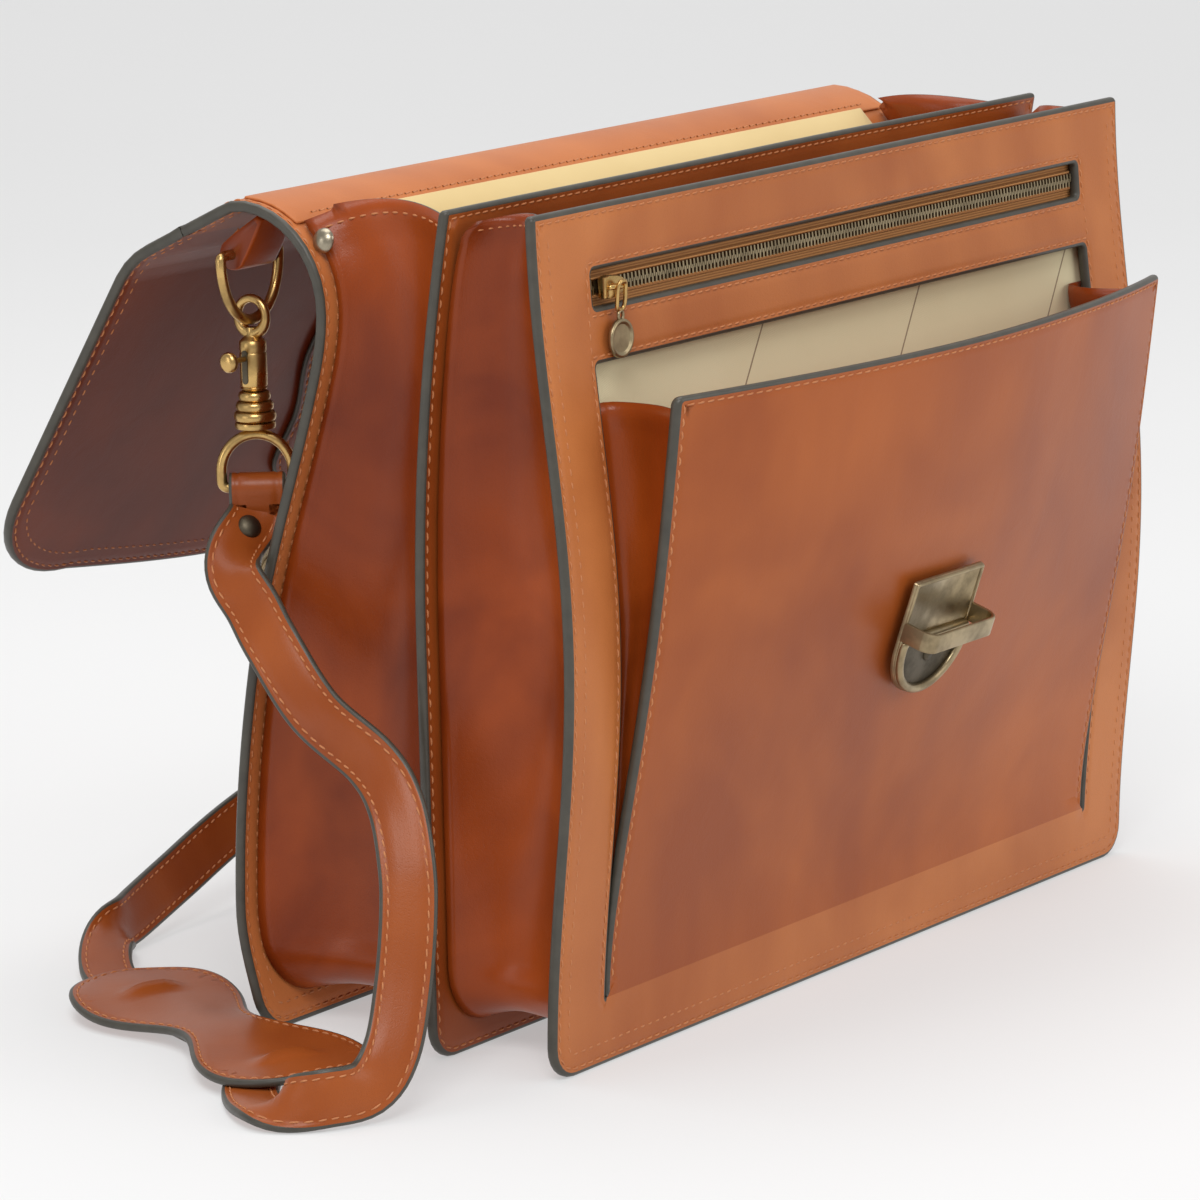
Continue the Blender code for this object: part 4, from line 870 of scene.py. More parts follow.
def more_rows(piece, start, end, count):
    """Cut a mesh across with evenly spaced planes between two places."""
    shape = bmesh.new()
    shape.from_mesh(piece.data)
    start, end = Vector(start), Vector(end)
    for n in range(count):
        bmesh.ops.bisect_plane(shape, geom=shape.verts[:] + shape.edges[:] + shape.faces[:], dist=1e-7,
                               plane_co=start.lerp(end, n / (count - 1)), plane_no=end - start)
    shape.to_mesh(piece.data)
    shape.free()


back_cut = window(-HALF_WIDTH, 0, HALF_WIDTH, FLAP_CUT, FOOT_RADIUS, 0)
back = plate("back_hide", [back_cut], on_back, HIDE_THICK, [INNER_GRAIN, EDGE, GRAIN], butt=FLAP_CUT)
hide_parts("back_panel", "flap_top")
ROLL_START = (0, 0.0690, 0.2950)
ROLL_END = (0, 0.0820, 0.3047)
more_rows(back, ROLL_START, ROLL_END, 9)
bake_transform(back)
side_rows = []
for inner in (SEAM_IN, SEAM_IN + ROW_APART):
    side_rows.append(dense_line(border(-HALF_WIDTH, 0, HALF_WIDTH, FLAP_CUT - 0.001 + inner, FOOT_RADIUS,
                                       inner)))
for side, label in ((1, "inside"), (-1, "outside")):
    rows = seam("back_hide_stitches_" + label, side_rows, on_back, side * (HIDE_THICK / 2 - 0.0003))
    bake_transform(rows)


def drop_outline(inner=0.0):
    """Half the flap's edge from its cut: a straight side, a round corner and a long shallow curve."""
    side = HALF_WIDTH - inner
    outline = [(side, FLAP_CUT + (0.002 if inner else 0))]
    for n in range(13):
        a = math.pi / 2 * n / 12
        outline.append((side - FLAP_CORNER * (1 - math.cos(a)),
                        FOLD_AT + FLAP_SIDE + (0.040 - inner) * math.sin(a)))
    last_u, last_v = outline[-1]
    for n in range(1, 13):
        a = math.pi / 2 * n / 12
        outline.append((last_u * (1 - n / 12), last_v + (FOLD_AT + FLAP_DROP - inner - last_v) * math.sin(a)))
    return outline


half_drop = drop_outline()
flap_cut = half_drop + [(-u, v) for u, v in reversed(half_drop[:-1])]
# The flap's face towards the case is the back's outer grain run on, given the darker copy as painted shade.
flap = plate("flap", [flap_cut], on_back, HIDE_THICK, [INNER_GRAIN, EDGE, DARK_SHADE_GRAIN], butt=FLAP_CUT)
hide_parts("flap_drop")
fold_y, fold_z = hide_line(FOLD_AT)[0]
lean = Vector((0, math.cos((TOP_SLOPE + DROP_SLOPE) / 2), -math.sin((TOP_SLOPE + DROP_SLOPE) / 2)))
FOLD_START = Vector((0, fold_y, fold_z)) - lean * 0.009
FOLD_END = Vector((0, fold_y, fold_z)) + lean * 0.009
more_rows(flap, FOLD_START, FOLD_END, 7)
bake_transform(flap)
flap_rows = []
for inner in (SEAM_IN, SEAM_IN + ROW_APART):
    half_row = drop_outline(inner)
    flap_rows.append(dense_line(half_row + [(-u, v) for u, v in reversed(half_row[:-1])]))
for side, label in ((1, "inside"), (-1, "outside")):
    rows = seam("flap_stitches_" + label, flap_rows, on_back, side * (HIDE_THICK / 2 - 0.0003))
    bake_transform(rows)

tab_half, tab_neck = 0.054, 0.0415
tab_side = [(tab_half, 0.008), (tab_half, 0.058)]
tab_side += [(tab_half - (tab_half - tab_neck) * (0.5 - 0.5 * math.cos(math.pi * n / 10)),
              0.058 + 0.042 * n / 10) for n in range(1, 11)]
tab_side += [(tab_neck, 0.112)]
tab_side += [(tab_neck * math.cos(a), 0.112 + 0.022 * math.sin(a))
             for a in [math.pi / 2 * n / 10 for n in range(1, 11)]]
tab_side = [(u, v + FOLD_AT) for u, v in tab_side]
tab_cut = tab_side + [(-u, v) for u, v in reversed(tab_side[:-1])]
on_tab = lifted(on_back, -(HIDE_THICK / 2 + GAP + 0.001))
tab = plate("flap_tab_hide", [tab_cut], on_tab, 0.002, [DARK_SHADE_GRAIN, EDGE, DARK_SHADE_GRAIN], step=0.005)
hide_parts("flap_tab")
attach(tab, "flap_lower")
tab_row = [tuple(p) for p in inset(turned_to(dense(tab_cut, 0.003), True), 0.003)]
rows = seam("flap_tab_stitches", [tab_row + tab_row[:1]], on_tab, -0.0007)
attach(rows, "flap_lower")


# ---- the gussets
# Two strips of soft hide join the panels round their sides and foot, folding in along their middles. They
# are hemmed at the mouth with a row of stitches, and a domed rivet holds the back one to the back panel.
GUSSET_FOOT = 0.011
GUSSET_CORNER = 0.022


def back_line(z):
    if z <= CURL_START:
        return back_wall(z)
    rise = min(z - CURL_START, CURL_RADIUS)
    return CURL_Y - math.sqrt(CURL_RADIUS ** 2 - rise ** 2)


def gusset_place(front_of, rear_of, top_front, top_back, side_fold, mouth_bow):
    """Where the strip's point (a across from front to back, s along from the left mouth) stands."""
    side = HALF_WIDTH - GUSSET_INSET
    turn = GUSSET_CORNER * math.pi / 2
    level = 2 * (side - GUSSET_CORNER)

    def place(a, b, lift=0.0):
        top = top_front + (top_back - top_front) * a
        upright = top - GUSSET_FOOT - GUSSET_CORNER
        s = b * (2 * (upright + turn) + level)
        fold = side_fold * math.sin(math.pi * a) ** 0.8
        high = min(max(1 - min(s, 2 * (upright + turn) + level - s) / upright, 0), 1)
        if s <= upright or s >= upright + 2 * turn + level:
            left = s <= upright
            foot = GUSSET_FOOT + GUSSET_CORNER
            rising = foot + s - upright - 2 * turn - level
            spot = Vector((-side, 0, top - s)) if left else Vector((side, 0, rising))
            inward = Vector((1 if left else -1, 0, 0))
            weight = 1.0
        elif upright + turn <= s <= upright + turn + level:
            spot = Vector((-side + GUSSET_CORNER + s - upright - turn, 0, GUSSET_FOOT))
            inward = Vector((0, 0, 1))
            weight = 0.4
        else:
            left = s < upright + turn
            angle = (s - upright if left else upright + 2 * turn + level - s) / GUSSET_CORNER
            inward = Vector((math.cos(angle) * (1 if left else -1), 0, math.sin(angle)))
            centre = Vector((-(side - GUSSET_CORNER) * (1 if left else -1), 0, GUSSET_FOOT + GUSSET_CORNER))
            spot = centre - inward * GUSSET_CORNER
            weight = 1 - 0.6 * math.sin(angle)
        edge = math.sin(math.pi * a)
        sway = 0.0042 * math.sin(math.tau * a) * math.sin(math.pi * min(high * 1.6, 1.0)) * (0.4 + 0.6 * high)
        pucker = sway + 0.0011 * edge * noise.noise(Vector((a * 2.2, s * 16, side_fold * 90 + spot.x * 2)))
        pucker += 0.0018 * edge * noise.noise(Vector((a * 1.2 + 7, s * 6, spot.x * 3)))
        spot += inward * (fold * weight + pucker + lift)
        spot.z += mouth_bow * edge * max(0.0, high - 0.7) ** 2 / 0.09
        low = front_of(spot.z) + HIDE_THICK / 2 + 0.0008
        rise = max(spot.z - CURL_START, 0) / CURL_RADIUS
        rear = rear_of(spot.z) - (HIDE_THICK / 2 + 0.0012) / math.sqrt(1 - min(rise, 0.95) ** 2)
        return Vector((spot.x, low + (rear - low) * a, spot.z))
    return place


def gusset(name, place, across, along, thick=0.0017):
    """A closed shell of the strip with rounded hems at both mouths."""
    points, faces, indices = [], [], []
    half = thick / 2
    for n in range(along + 1):
        b = n / along
        hem = 0.0009 if min(n, along - n) in (1, 2) else (0.0 if min(n, along - n) else -0.0004)
        for side in (1, -1):
            for k in range(across + 1):
                points.append(place(k / across, b, side * (half + hem)))
    row = 2 * (across + 1)
    for n in range(along):
        for k in range(across):
            a = n * row + k
            faces.append((a, a + 1, a + row + 1, a + row))
            b = a + across + 1
            faces.append((b, b + row, b + row + 1, b + 1))
            indices += [0, 0]
        for k, flip in ((0, True), (across, False)):
            a, b = n * row + k, n * row + across + 1 + k
            quad = (a, b, b + row, a + row)
            faces.append(quad[::-1] if flip else quad)
            indices.append(0)
    for n, flip in ((0, False), (along, True)):
        for k in range(across):
            a = n * row + k
            quad = (a, a + across + 1, a + across + 2, a + 1)
            faces.append(quad[::-1] if flip else quad)
            indices.append(1)
    # The strip's darkened hide is partly its own tone and partly painted shade.
    return shown(name, points, faces, [SHADED_SOFT_GRAIN, EDGE], indices)


front_mouth = HEIGHT - 0.004
for name, front_of, rear_of, back_mouth, fold, bodies, start, end in (
        ("gusset_front_soft", lambda z: front_wall(0, z), lambda z: divider_wall(0, z), front_mouth, 0.0125,
         ("back", "front"), (0, 0.0475, 0.15), (0, -0.0375, 0.1415)),
        ("gusset_back_soft", lambda z: divider_wall(0, z), back_line, HEIGHT - 0.008, 0.0130,
         ("divider", "back"), (0, 0.0, 0.15), (0, 0.039, 0.15))):
    mouth_bow = 0.0055 if "back" in name else 0.002
    place = gusset_place(front_of, rear_of, front_mouth, back_mouth, fold, mouth_bow)
    strip = gusset(name, place, 20, 300)
    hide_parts("front_gusset" if "front" in name else "back_gusset")
    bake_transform(strip)
    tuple(start)
    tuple(end)
    hems = [[(0.06 + 0.88 * n / 20, b) for n in range(21)] for b in (0.0042, 1 - 0.0042)]
    points, faces = [], []
    for hem in hems:
        for n in range(12):
            a0, a1 = 0.06 + 0.88 * (n + 0.15) / 12, 0.06 + 0.88 * (n + 0.85) / 12
            for step in range(5):
                t = step / 4
                a = a0 + (a1 - a0) * t
                out = -0.0021 + 0.0007 * (1 - math.sin(math.pi * t))
                spot, near = place(a, hem[0][1], out), place(a + 0.01, hem[0][1], out)
                run = (near - spot).normalized()
                side = run.cross(place(a, hem[0][1], out - 0.001) - spot).normalized()
                up = side.cross(run).normalized()
                points += [spot + (side * math.cos(c) + up * math.sin(c)) * 0.0004
                           * (0.5 + math.sin(math.pi * t) / 2) for c in [math.tau * q / 5 for q in range(5)]]
                if step:
                    base = len(points) - 10
                    faces += [(base + q, base + (q + 1) % 5, base + 5 + (q + 1) % 5, base + 5 + q)
                              for q in range(5)]
    hem_rows = shown(name + "_stitches", points, faces, [THREAD])
    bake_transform(hem_rows)
    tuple(start)
    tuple(end)


# ---- the pocket's gussets
# Two thin slips of hide folded in half between the pocket's front and the panel, one at each side.
BELLOWS_FOOT = 0.060
BELLOWS_TOP = 0.232
for side, label in ((-1, "left"), (1, "right")):
    def bellows(a, b, lift=0.0, side=side):
        z = BELLOWS_FOOT + (BELLOWS_TOP - BELLOWS_FOOT) * b
        tuck = max(0.0, a - 0.8) / 0.2
        u = side * (SLIT_X - 0.0050 - 0.007 * math.sin(math.pi * a) * b + 0.0080 * tuck)
        up = SLIT_FOOT + (z - SLIT_FOOT) / math.cos(POCKET_LEAN)
        fore = on_pocket(u, up, 0).y + HIDE_THICK / 2 + 0.0005
        rear = max(front_wall(u, z) + HIDE_THICK / 2 + 0.0007, fore + 0.001)
        crinkle = 0.0012 * math.sin(math.pi * a) * noise.noise(Vector((a * 3, z * 30, side)))
        depth = fore + (rear - fore) * min(a / 0.8, 1)
        if a > 0.8:
            return Vector((u, depth + lift * 0.3, z))
        return Vector((u + crinkle - lift * side, depth, z))
    slip = gusset("pocket_bellows_" + label, bellows, 12, 60, 0.0012)
    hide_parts("pocket_gusset_" + label)
    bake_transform(slip)


# ---- the zip
# A woven orange tape with 5 mm brass teeth that mesh along its middle, sewn behind its window, with a
# bridged slider, a long wire link and a round medallion left blank.
def tape_finish():
    material, tree, shader = surface("woven zip tape")
    place = tree.nodes.new("ShaderNodeTexCoord").outputs["Object"]
    rib = put(tree, "Mapping", [("Vector", place)], Scale=(0.02, 0.0, 1.0))
    rows = put(tree, "TexWave", [("Vector", rib.outputs[0])], Scale=330.0, Distortion=0.4)
    rows.bands_direction = "Z"
    tint = blend_colour(tree, rows.outputs[1], (0.300, 0.110, 0.026, 1), (0.520, 0.235, 0.070, 1))
    tree.links.new(tint, shader.inputs["Base Color"])
    relief = put(tree, "Bump", [("Height", rows.outputs[1])], Strength=0.4, Distance=0.0002)
    tree.links.new(relief.outputs[0], shader.inputs["Normal"])
    shader.inputs["Roughness"].default_value = 0.8
    return material


def brass_finish(name, bright, dark, gloss=0.30, amount=0.5):
    """Antiqued brass: dark patina left in the hollows and cloudy patches, rubbed bright between."""
    material, tree, shader = surface(name)
    place = tree.nodes.new("ShaderNodeTexCoord").outputs["Object"]
    cloud = put(tree, "TexNoise", [("Vector", place)], Scale=95.0, Detail=4.0, Roughness=0.6)
    brushed = put(tree, "Mapping", [("Vector", place)], Scale=(1.0, 1.0, 0.06))
    scratch = put(tree, "TexNoise", [("Vector", brushed.outputs[0])], Scale=1600.0, Detail=2.0)
    mask = put(tree, "MapRange", [("Value", cloud.outputs[0])], **{"From Min": 0.40, "From Max": 0.66})
    worn = math_node(tree, "MULTIPLY", mask.outputs[0], amount)
    tint = blend_colour(tree, worn, (*bright, 1), (*dark, 1))
    tree.links.new(tint, shader.inputs["Base Color"])
    rough = math_node(tree, "MULTIPLY_ADD", mask.outputs[0], 0.18, gloss)
    tree.links.new(rough, shader.inputs["Roughness"])
    relief = put(tree, "Bump", [("Height", scratch.outputs[0])], Strength=0.12, Distance=0.0001)
    tree.links.new(relief.outputs[0], shader.inputs["Normal"])
    shader.inputs["Metallic"].default_value = 1.0
    return material


TAPE = tape_finish()
ANTIQUE = brass_finish("antiqued brass", (0.420, 0.330, 0.195), (0.100, 0.078, 0.048))
GOLDEN = brass_finish("rubbed golden brass", (0.620, 0.400, 0.150), (0.130, 0.085, 0.040), 0.24)
# Dark brass for the lock's well and hub and the strap's studs, and on the hooks painted shade in the bolt's
# slot.
DARK_BRASS_AND_SLOT_SHADE = brass_finish("dark patina", (0.120, 0.100, 0.070), (0.045, 0.038, 0.028), 0.42)
NICKEL = brass_finish("aged nickel dome", (0.400, 0.350, 0.260), (0.160, 0.130, 0.090), 0.26)


def tube(name, line, radius, finish, closed=False, sides=14, flat=1.0):
    """A round wire swept along the line; radius may be a list, one for each place."""
    line = [Vector(p) for p in line]
    count = len(line)
    radii = radius if isinstance(radius, list) else [radius] * count
    points, faces = [], []
    side = None
    for n, spot in enumerate(line):
        before = line[n - 1] if closed or n else spot
        after = line[(n + 1) % count] if closed or n < count - 1 else spot
        run = (after - before).normalized()
        side = (side or run.orthogonal())
        side = (side - run * side.dot(run)).normalized()
        up = run.cross(side)
        points += [spot + (side * math.cos(a) + up * math.sin(a) * flat) * radii[n]
                   for a in [math.tau * k / sides for k in range(sides)]]
    for n in range(count if closed else count - 1):
        a, b = n * sides, (n + 1) % count * sides
        shift = 0
        if closed and n == count - 1:
            shift = min(range(sides), key=lambda k: (points[a] - points[b + k]).length)
        faces += [(a + k, a + (k + 1) % sides, b + (k + 1 + shift) % sides, b + (k + shift) % sides)
                  for k in range(sides)]
    if not closed:
        faces += [tuple(range(sides))[::-1], tuple(range((count - 1) * sides, count * sides))]
    return shown(name, points, faces, [finish])


def turned(name, profile, finish, home, segments=40):
    """A lathe-turned piece: (radius, height) down the outside, about local Z at home."""
    points, faces = [], []
    for r, z in profile:
        points += [home @ Vector((r * math.cos(a), r * math.sin(a), z))
                   for a in [math.tau * k / segments for k in range(segments)]]
    for n in range(len(profile) - 1):
        a, b = n * segments, (n + 1) * segments
        faces += [(a + k, b + k, b + (k + 1) % segments, a + (k + 1) % segments) for k in range(segments)]
    last = (len(profile) - 1) * segments
    faces += [tuple(range(segments)), tuple(range(last, last + segments))[::-1]]
    piece = shown(name, points, faces, [finish])
    piece.data.set_sharp_from_angle(angle=math.radians(50))
    return piece


def towards(spot, axis):
    """A place with its local Z along the axis."""
    return Matrix.Translation(spot) @ Vector(axis).to_track_quat("Z", "Y").to_matrix().to_4x4()


def stands_for(piece, node, body):
    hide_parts(*([node] if isinstance(node, str) else node))
    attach(piece, body)


for label, foot, top, node in (("upper", ZIP_Z + 0.0002, ZIP_Z + 0.014, "zip_tape_upper"),
                               ("lower", ZIP_Z - 0.014, ZIP_Z - 0.0002, "zip_tape_lower")):
    cut = window(-ZIP_X - 0.004, foot, ZIP_X + 0.004, top)
    tape = plate("zip_tape_weave_" + label, [cut], lifted(on_front, -(skin + TAPE_THICK / 2)), TAPE_THICK,
                 [TAPE, TAPE, TAPE], step=0.006, groove=None, bead=0.0003)
    stands_for(tape, node, "front")
points, faces = [], []
TEETH_FORWARD = -HIDE_THICK / 2 + 0.0010
for n in range(int(2 * ZIP_X / 0.0011)):
    u = -ZIP_X + 0.0008 + 0.0011 * n
    side = 1 if n % 2 else -1
    base = len(points)
    for t in (-0.0009, 0.0009):
        for du, dv in ((-0.00042, side * 0.0025), (0.00042, side * 0.0025), (0.00050, side * 0.0006),
                       (0.0003, -side * 0.0006), (-0.0003, -side * 0.0006), (-0.00050, side * 0.0006)):
            points.append(on_front(u + du, ZIP_Z + dv, TEETH_FORWARD + t * (0.9 if abs(dv) > 0.002 else 1.0)))
    front_ring, back_ring = [base + 6 + k for k in range(6)], [base + k for k in range(6)]
    flip = side > 0
    faces.append(front_ring[::-1] if flip else front_ring)
    faces.append(back_ring if flip else back_ring[::-1])
    for k in range(6):
        m = (k + 1) % 6
        quad = (base + k, base + m, base + 6 + m, base + 6 + k)
        faces.append(quad if not flip else quad[::-1])
teeth = shown("zip_teeth", points, faces, [ANTIQUE])
teeth.data.set_sharp_from_angle(angle=math.radians(30))
stands_for(teeth, "zip_chain", "front")
for side, label in ((1, "above"), (-1, "below")):
    cord_line = [on_front(u, ZIP_Z + side * 0.0030, TEETH_FORWARD - 0.0002)
                 for u in np.linspace(-ZIP_X + 0.001, ZIP_X - 0.001, 60)]
    rope = tube("zip_cord_" + label, cord_line, 0.0006, TAPE, sides=6)
    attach(rope, "front")

low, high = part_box("zip_slider")
slider_mid = (Vector(low) + Vector(high)) / 2
profile = [(-0.0058, 0.0036), (-0.0030, 0.0041), (0.0015, 0.0036), (0.0050, 0.0026), (0.0059, 0.0018)]
outline = profile + [(x, -z) for x, z in reversed(profile)]
points = []
levels = [(0.78, 0.0017), (0.95, 0.0015), (1.0, 0.0010), (1.0, -0.0010), (0.95, -0.0016)]
for share, out in levels:
    points += [slider_mid + Vector((x * share, -out, z * share)) for x, z in outline]
slider = shown("zip_slider_body", points, ringed(len(levels), len(outline), flip=True), [GOLDEN])
slider.data.set_sharp_from_angle(angle=math.radians(40))
stands_for(slider, "zip_slider", "slider")
arch = [slider_mid + Vector((-0.0040 + 0.0080 * n / 12, -0.0016 - 0.0021 * math.sin(math.pi * n / 12), 0))
        for n in range(13)]
bridge = tube("zip_bridge", arch, 0.0009, GOLDEN, sides=10)
bridge.parent = slider

low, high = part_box("zip_pull_link")
mid, half = (Vector(low) + Vector(high)) / 2, (Vector(high) - Vector(low)) / 2


def squarish(share):
    """Push a round path's share outwards, so that its corners fill out."""
    return math.copysign(abs(share) ** 0.62, share)


link_line = []
for n in range(40):
    a = math.tau * n / 40
    fore = math.cos(a)
    link_line.append((mid.x + (half.x - 0.0007) * squarish(math.sin(a)),
                      mid.y - (half.y - 0.0007) * fore, mid.z + (half.z - 0.0007) * squarish(fore)))
link = tube("zip_link", link_line, 0.00075, GOLDEN, closed=True, sides=10)
stands_for(link, "zip_pull_link", "pull")

low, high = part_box("zip_medallion")
medal_mid = (Vector(low) + Vector(high)) / 2
medal_radius = (high[0] - low[0]) / 2
medal_profile = [(0.0, 0.00030), (medal_radius - 0.0020, 0.00030), (medal_radius - 0.0018, 0.00032),
                 (medal_radius - 0.0014, 0.00085), (medal_radius - 0.0008, 0.00100),
                 (medal_radius - 0.0002, 0.00080), (medal_radius, 0.00035)]
medal_profile += [(r, -z) for r, z in reversed(medal_profile)]
medal_profile = [(max(r, 0.00001), z) for r, z in medal_profile]
medal = turned("zip_medal", medal_profile, ANTIQUE, towards(medal_mid, (0, -1, 0)), 48)
stands_for(medal, "zip_medallion", "pull")
tab_line = [(medal_mid.x + 0.0014 * math.sin(a), medal_mid.y, medal_mid.z + medal_radius + 0.0010
             + 0.0016 * math.cos(a)) for a in [math.tau * n / 20 for n in range(20)]]
lug = tube("zip_medal_lug", tab_line, 0.0006, ANTIQUE, closed=True, sides=8)
lug.parent = medal


# ---- the lock
# A cast brass plate on the pocket, straight-sided above and half round below, with a raised rim, a dark
# D-shaped well, and a staple that stands out for the hasp to drop over.
LOCK_Z = POCKET_TOP - 0.110
LOCK_HALF = 0.023
LOCK_TOP = 0.024
lock_low, lock_high = on_pocket(0, LOCK_Z - 0.02, 0), on_pocket(0, LOCK_Z + 0.02, 0)
frame_low, frame_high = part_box("lock_plate")
lock_middle = (Vector(frame_low) + Vector(frame_high)) / 2
lock_lean = math.atan2(lock_low.y - lock_high.y, lock_high.z - lock_low.z)


def on_lock(u, v, out):
    """Across, up and out of the lock's face."""
    out -= 0.0007
    return lock_middle + Vector((u, -out * math.cos(lock_lean) - v * math.sin(lock_lean),
                                 v * math.cos(lock_lean) - out * math.sin(lock_lean)))


def d_outline(half, top, foot, shoulder=-0.003, count=30, corner=0.0014):
    """Straight sides with rounded top corners, and a half-round bowl below the shoulder."""
    bowl = [(half * math.cos(a), shoulder + (foot - shoulder) * abs(math.sin(a)))
            for a in [math.pi + math.pi * n / count for n in range(count + 1)]]
    top_right = arc((half - corner, top - corner), corner, 0, 90, 4)
    top_left = arc((-half + corner, top - corner), corner, 90, 180, 4)
    return bowl + top_right + top_left


def cast(name, outline, levels, place, finish):
    """A casting: the outline drawn in by each level's inset at each height out."""
    loop = turned_to(outline, True)
    points = []
    for inner, out in levels:
        points += [place(u, v, out) for u, v in (inset(loop, inner) if inner else loop)]
    piece = shown(name, points, ringed(len(levels), len(loop)), [finish])
    piece.data.set_sharp_from_angle(angle=math.radians(35))
    return piece


whole = d_outline(LOCK_HALF, LOCK_TOP, -LOCK_TOP)
face_plate = cast("lock_face", whole,
                  [(0, 0), (0, 0.0009), (0.0003, 0.0014), (0.0012, 0.0016), (0.0018, 0.0013)],
                  on_lock, ANTIQUE)
stands_for(face_plate, "lock_plate", "pocket")
edge_line = [on_lock(u, v, 0.0014) for u, v in inset(turned_to(whole, True), 0.0010)]
lip = tube("lock_lip", edge_line, 0.0008, ANTIQUE, closed=True, sides=8)
lip.parent = face_plate
well_top = 0.0002
rim_line = d_outline(LOCK_HALF - 0.0020, well_top, -LOCK_TOP + 0.0020, corner=0.002)
rim = tube("lock_rim", [on_lock(u, v, 0.0024) for u, v in rim_line], 0.0017, ANTIQUE, closed=True, sides=14)
stands_for(rim, "lock_frame", "pocket")
floor_line = d_outline(LOCK_HALF - 0.0030, well_top - 0.0008, -LOCK_TOP + 0.0030, corner=0.001)
well = cast("lock_well", floor_line, [(0, 0.0010), (0, 0.00175), (0.0004, 0.0018)], on_lock, DARK_BRASS_AND_SLOT_SHADE)
well.parent = face_plate
hub = turned("lock_hub", [(0.00001, 0.0012), (0.0022, 0.0011), (0.0027, 0.0006), (0.0028, 0.0)], DARK_BRASS_AND_SLOT_SHADE,
             towards(on_lock(0, -0.0085, 0.0017), on_lock(0, 0, 1) - on_lock(0, 0, 0)), 28)
hub.parent = face_plate
KEEPER_Z, KEEPER_TALL, KEEPER_REACH = 0.0045, 0.0075, 0.0143
corner = 0.0048
staple = [(-LOCK_HALF + 0.0008, 0.0012)] + [(-LOCK_HALF + 0.0008, KEEPER_REACH - corner)]
staple += [(-LOCK_HALF + 0.0008 + corner - corner * math.cos(a),
            KEEPER_REACH - 0.0008 - corner + corner * math.sin(a))
           for a in [math.pi / 2 * n / 8 for n in range(1, 9)]]
staple += [(-u, out) for u, out in reversed(staple)]
points = []
quarter = [(-1, 0.5), (-0.94, 0.88), (-0.8, 1)]
half_section = quarter + [(-p, q) for p, q in reversed(quarter)]
section = half_section + [(p, -q) for p, q in reversed(half_section)]
for n, (u, out) in enumerate(staple):
    before, after = Vector(staple[max(n - 1, 0)]), Vector(staple[min(n + 1, len(staple) - 1)])
    run = (after - before).normalized()
    normal = Vector((run.y, -run.x)) * -1
    points += [on_lock(u + normal.x * 0.0008 * q, KEEPER_Z + KEEPER_TALL / 2 * p, out + normal.y * 0.0008 * q)
               for p, q in section]
keeper = shown("lock_staple", points, ringed(len(staple), len(section), flip=True), [ANTIQUE])
keeper.data.set_sharp_from_angle(angle=math.radians(40))
stands_for(keeper, "lock_keeper", "pocket")


# ---- the hasp
# A brass tongue riveted between the flap's edge and a backing plate, slotted to drop over the staple.
def on_drop(lift):
    """Flat on the flap's outer face: across, down the flap and out of it."""
    middle, facing = hide_line(FOLD_AT + FLAP_DROP - 0.02)
    tip, _ = hide_line(FOLD_AT + FLAP_DROP)
    run = (tip - middle).normalized()

    def place(u, v, out):
        spot = middle + run * (v - FLAP_DROP + 0.02) - facing * (lift + out)
        return Vector((u, spot.x, spot.y))
    return place


on_hasp = on_drop(HIDE_THICK / 2 + GAP)
HASP_HALF = 0.019
hasp_cut = window(-HASP_HALF, FLAP_DROP - 0.024, HASP_HALF, FLAP_DROP + 0.022, 0.004, 0.008)
hasp = cast("hasp_tongue", hasp_cut, [(0, 0), (0, 0.0011), (0.0004, 0.0015), (0.0014, 0.0015)], on_hasp,
            ANTIQUE)
stands_for(hasp, "hasp_plate", "flap_lower")
slot_cut = window(-0.012, FLAP_DROP + 0.006, 0.012, FLAP_DROP + 0.0135, 0.002, 0.002)
slot_line = [on_hasp(u, v, 0.0015) for u, v in turned_to(slot_cut, True)]
mouth = tube("hasp_mouth", slot_line, 0.0008, ANTIQUE, closed=True, sides=8)
mouth.parent = hasp


def on_inner(u, v, out):
    return on_drop(-HIDE_THICK / 2 - GAP)(u, v, -out)


backing_cut = window(-HASP_HALF, FLAP_DROP - 0.024, HASP_HALF, FLAP_DROP - 0.004, 0.004, 0.004)
backing = cast("hasp_back", backing_cut[::-1], [(0, 0), (0, 0.0008), (0.0004, 0.0012), (0.0012, 0.0012)],
               on_inner, ANTIQUE)
backing.data.flip_normals()
stands_for(backing, "hasp_backing", "flap_lower")
RIVET_DOME = [(0.00001, 0.0022), (0.0010, 0.00215), (0.0022, 0.0018), (0.0032, 0.0013), (0.0039, 0.0007),
              (0.0043, 0.0001), (0.0044, -0.0003), (0.0042, -0.0004), (0.00001, -0.0004)]
small_dome = [(r * 0.7, z * 0.7) for r, z in RIVET_DOME]
for side, label in ((-1, "left"), (1, "right")):
    spot = on_hasp(side * (HASP_HALF - 0.007), FLAP_DROP - 0.017, 0.0018)
    axis = on_hasp(0, 0, 1) - on_hasp(0, 0, 0)
    rivet = turned("hasp_stud_" + label, small_dome, ANTIQUE, towards(spot, axis), 24)
    stands_for(rivet, "hasp_rivet_" + label, "flap_lower")


# ---- the carrying handle
# A rolled hide grip stitched along its underside, its flat ends punched for brass rings that hang from two
# lugs riveted under the flap's top.
for side, label in ((-1, "left"), (1, "right")):
    for node in ("handle_mount_" + label, "handle_ring_" + label):
        bpy.data.objects[node].material_slots[0].material = ANTIQUE
HANDLE_SPAN = 0.110
HANDLE_RISE = 0.030
low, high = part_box("handle_grip")
pivot_y = (low[1] + high[1]) / 2
ring_x = HANDLE_SPAN / 2 - 0.002
ring_foot = low[2] + HANDLE_RISE + 0.0066


def grip_line(s):
    return Vector((s * ring_x, pivot_y, ring_foot - HANDLE_RISE * (1 - abs(s) ** 3)))


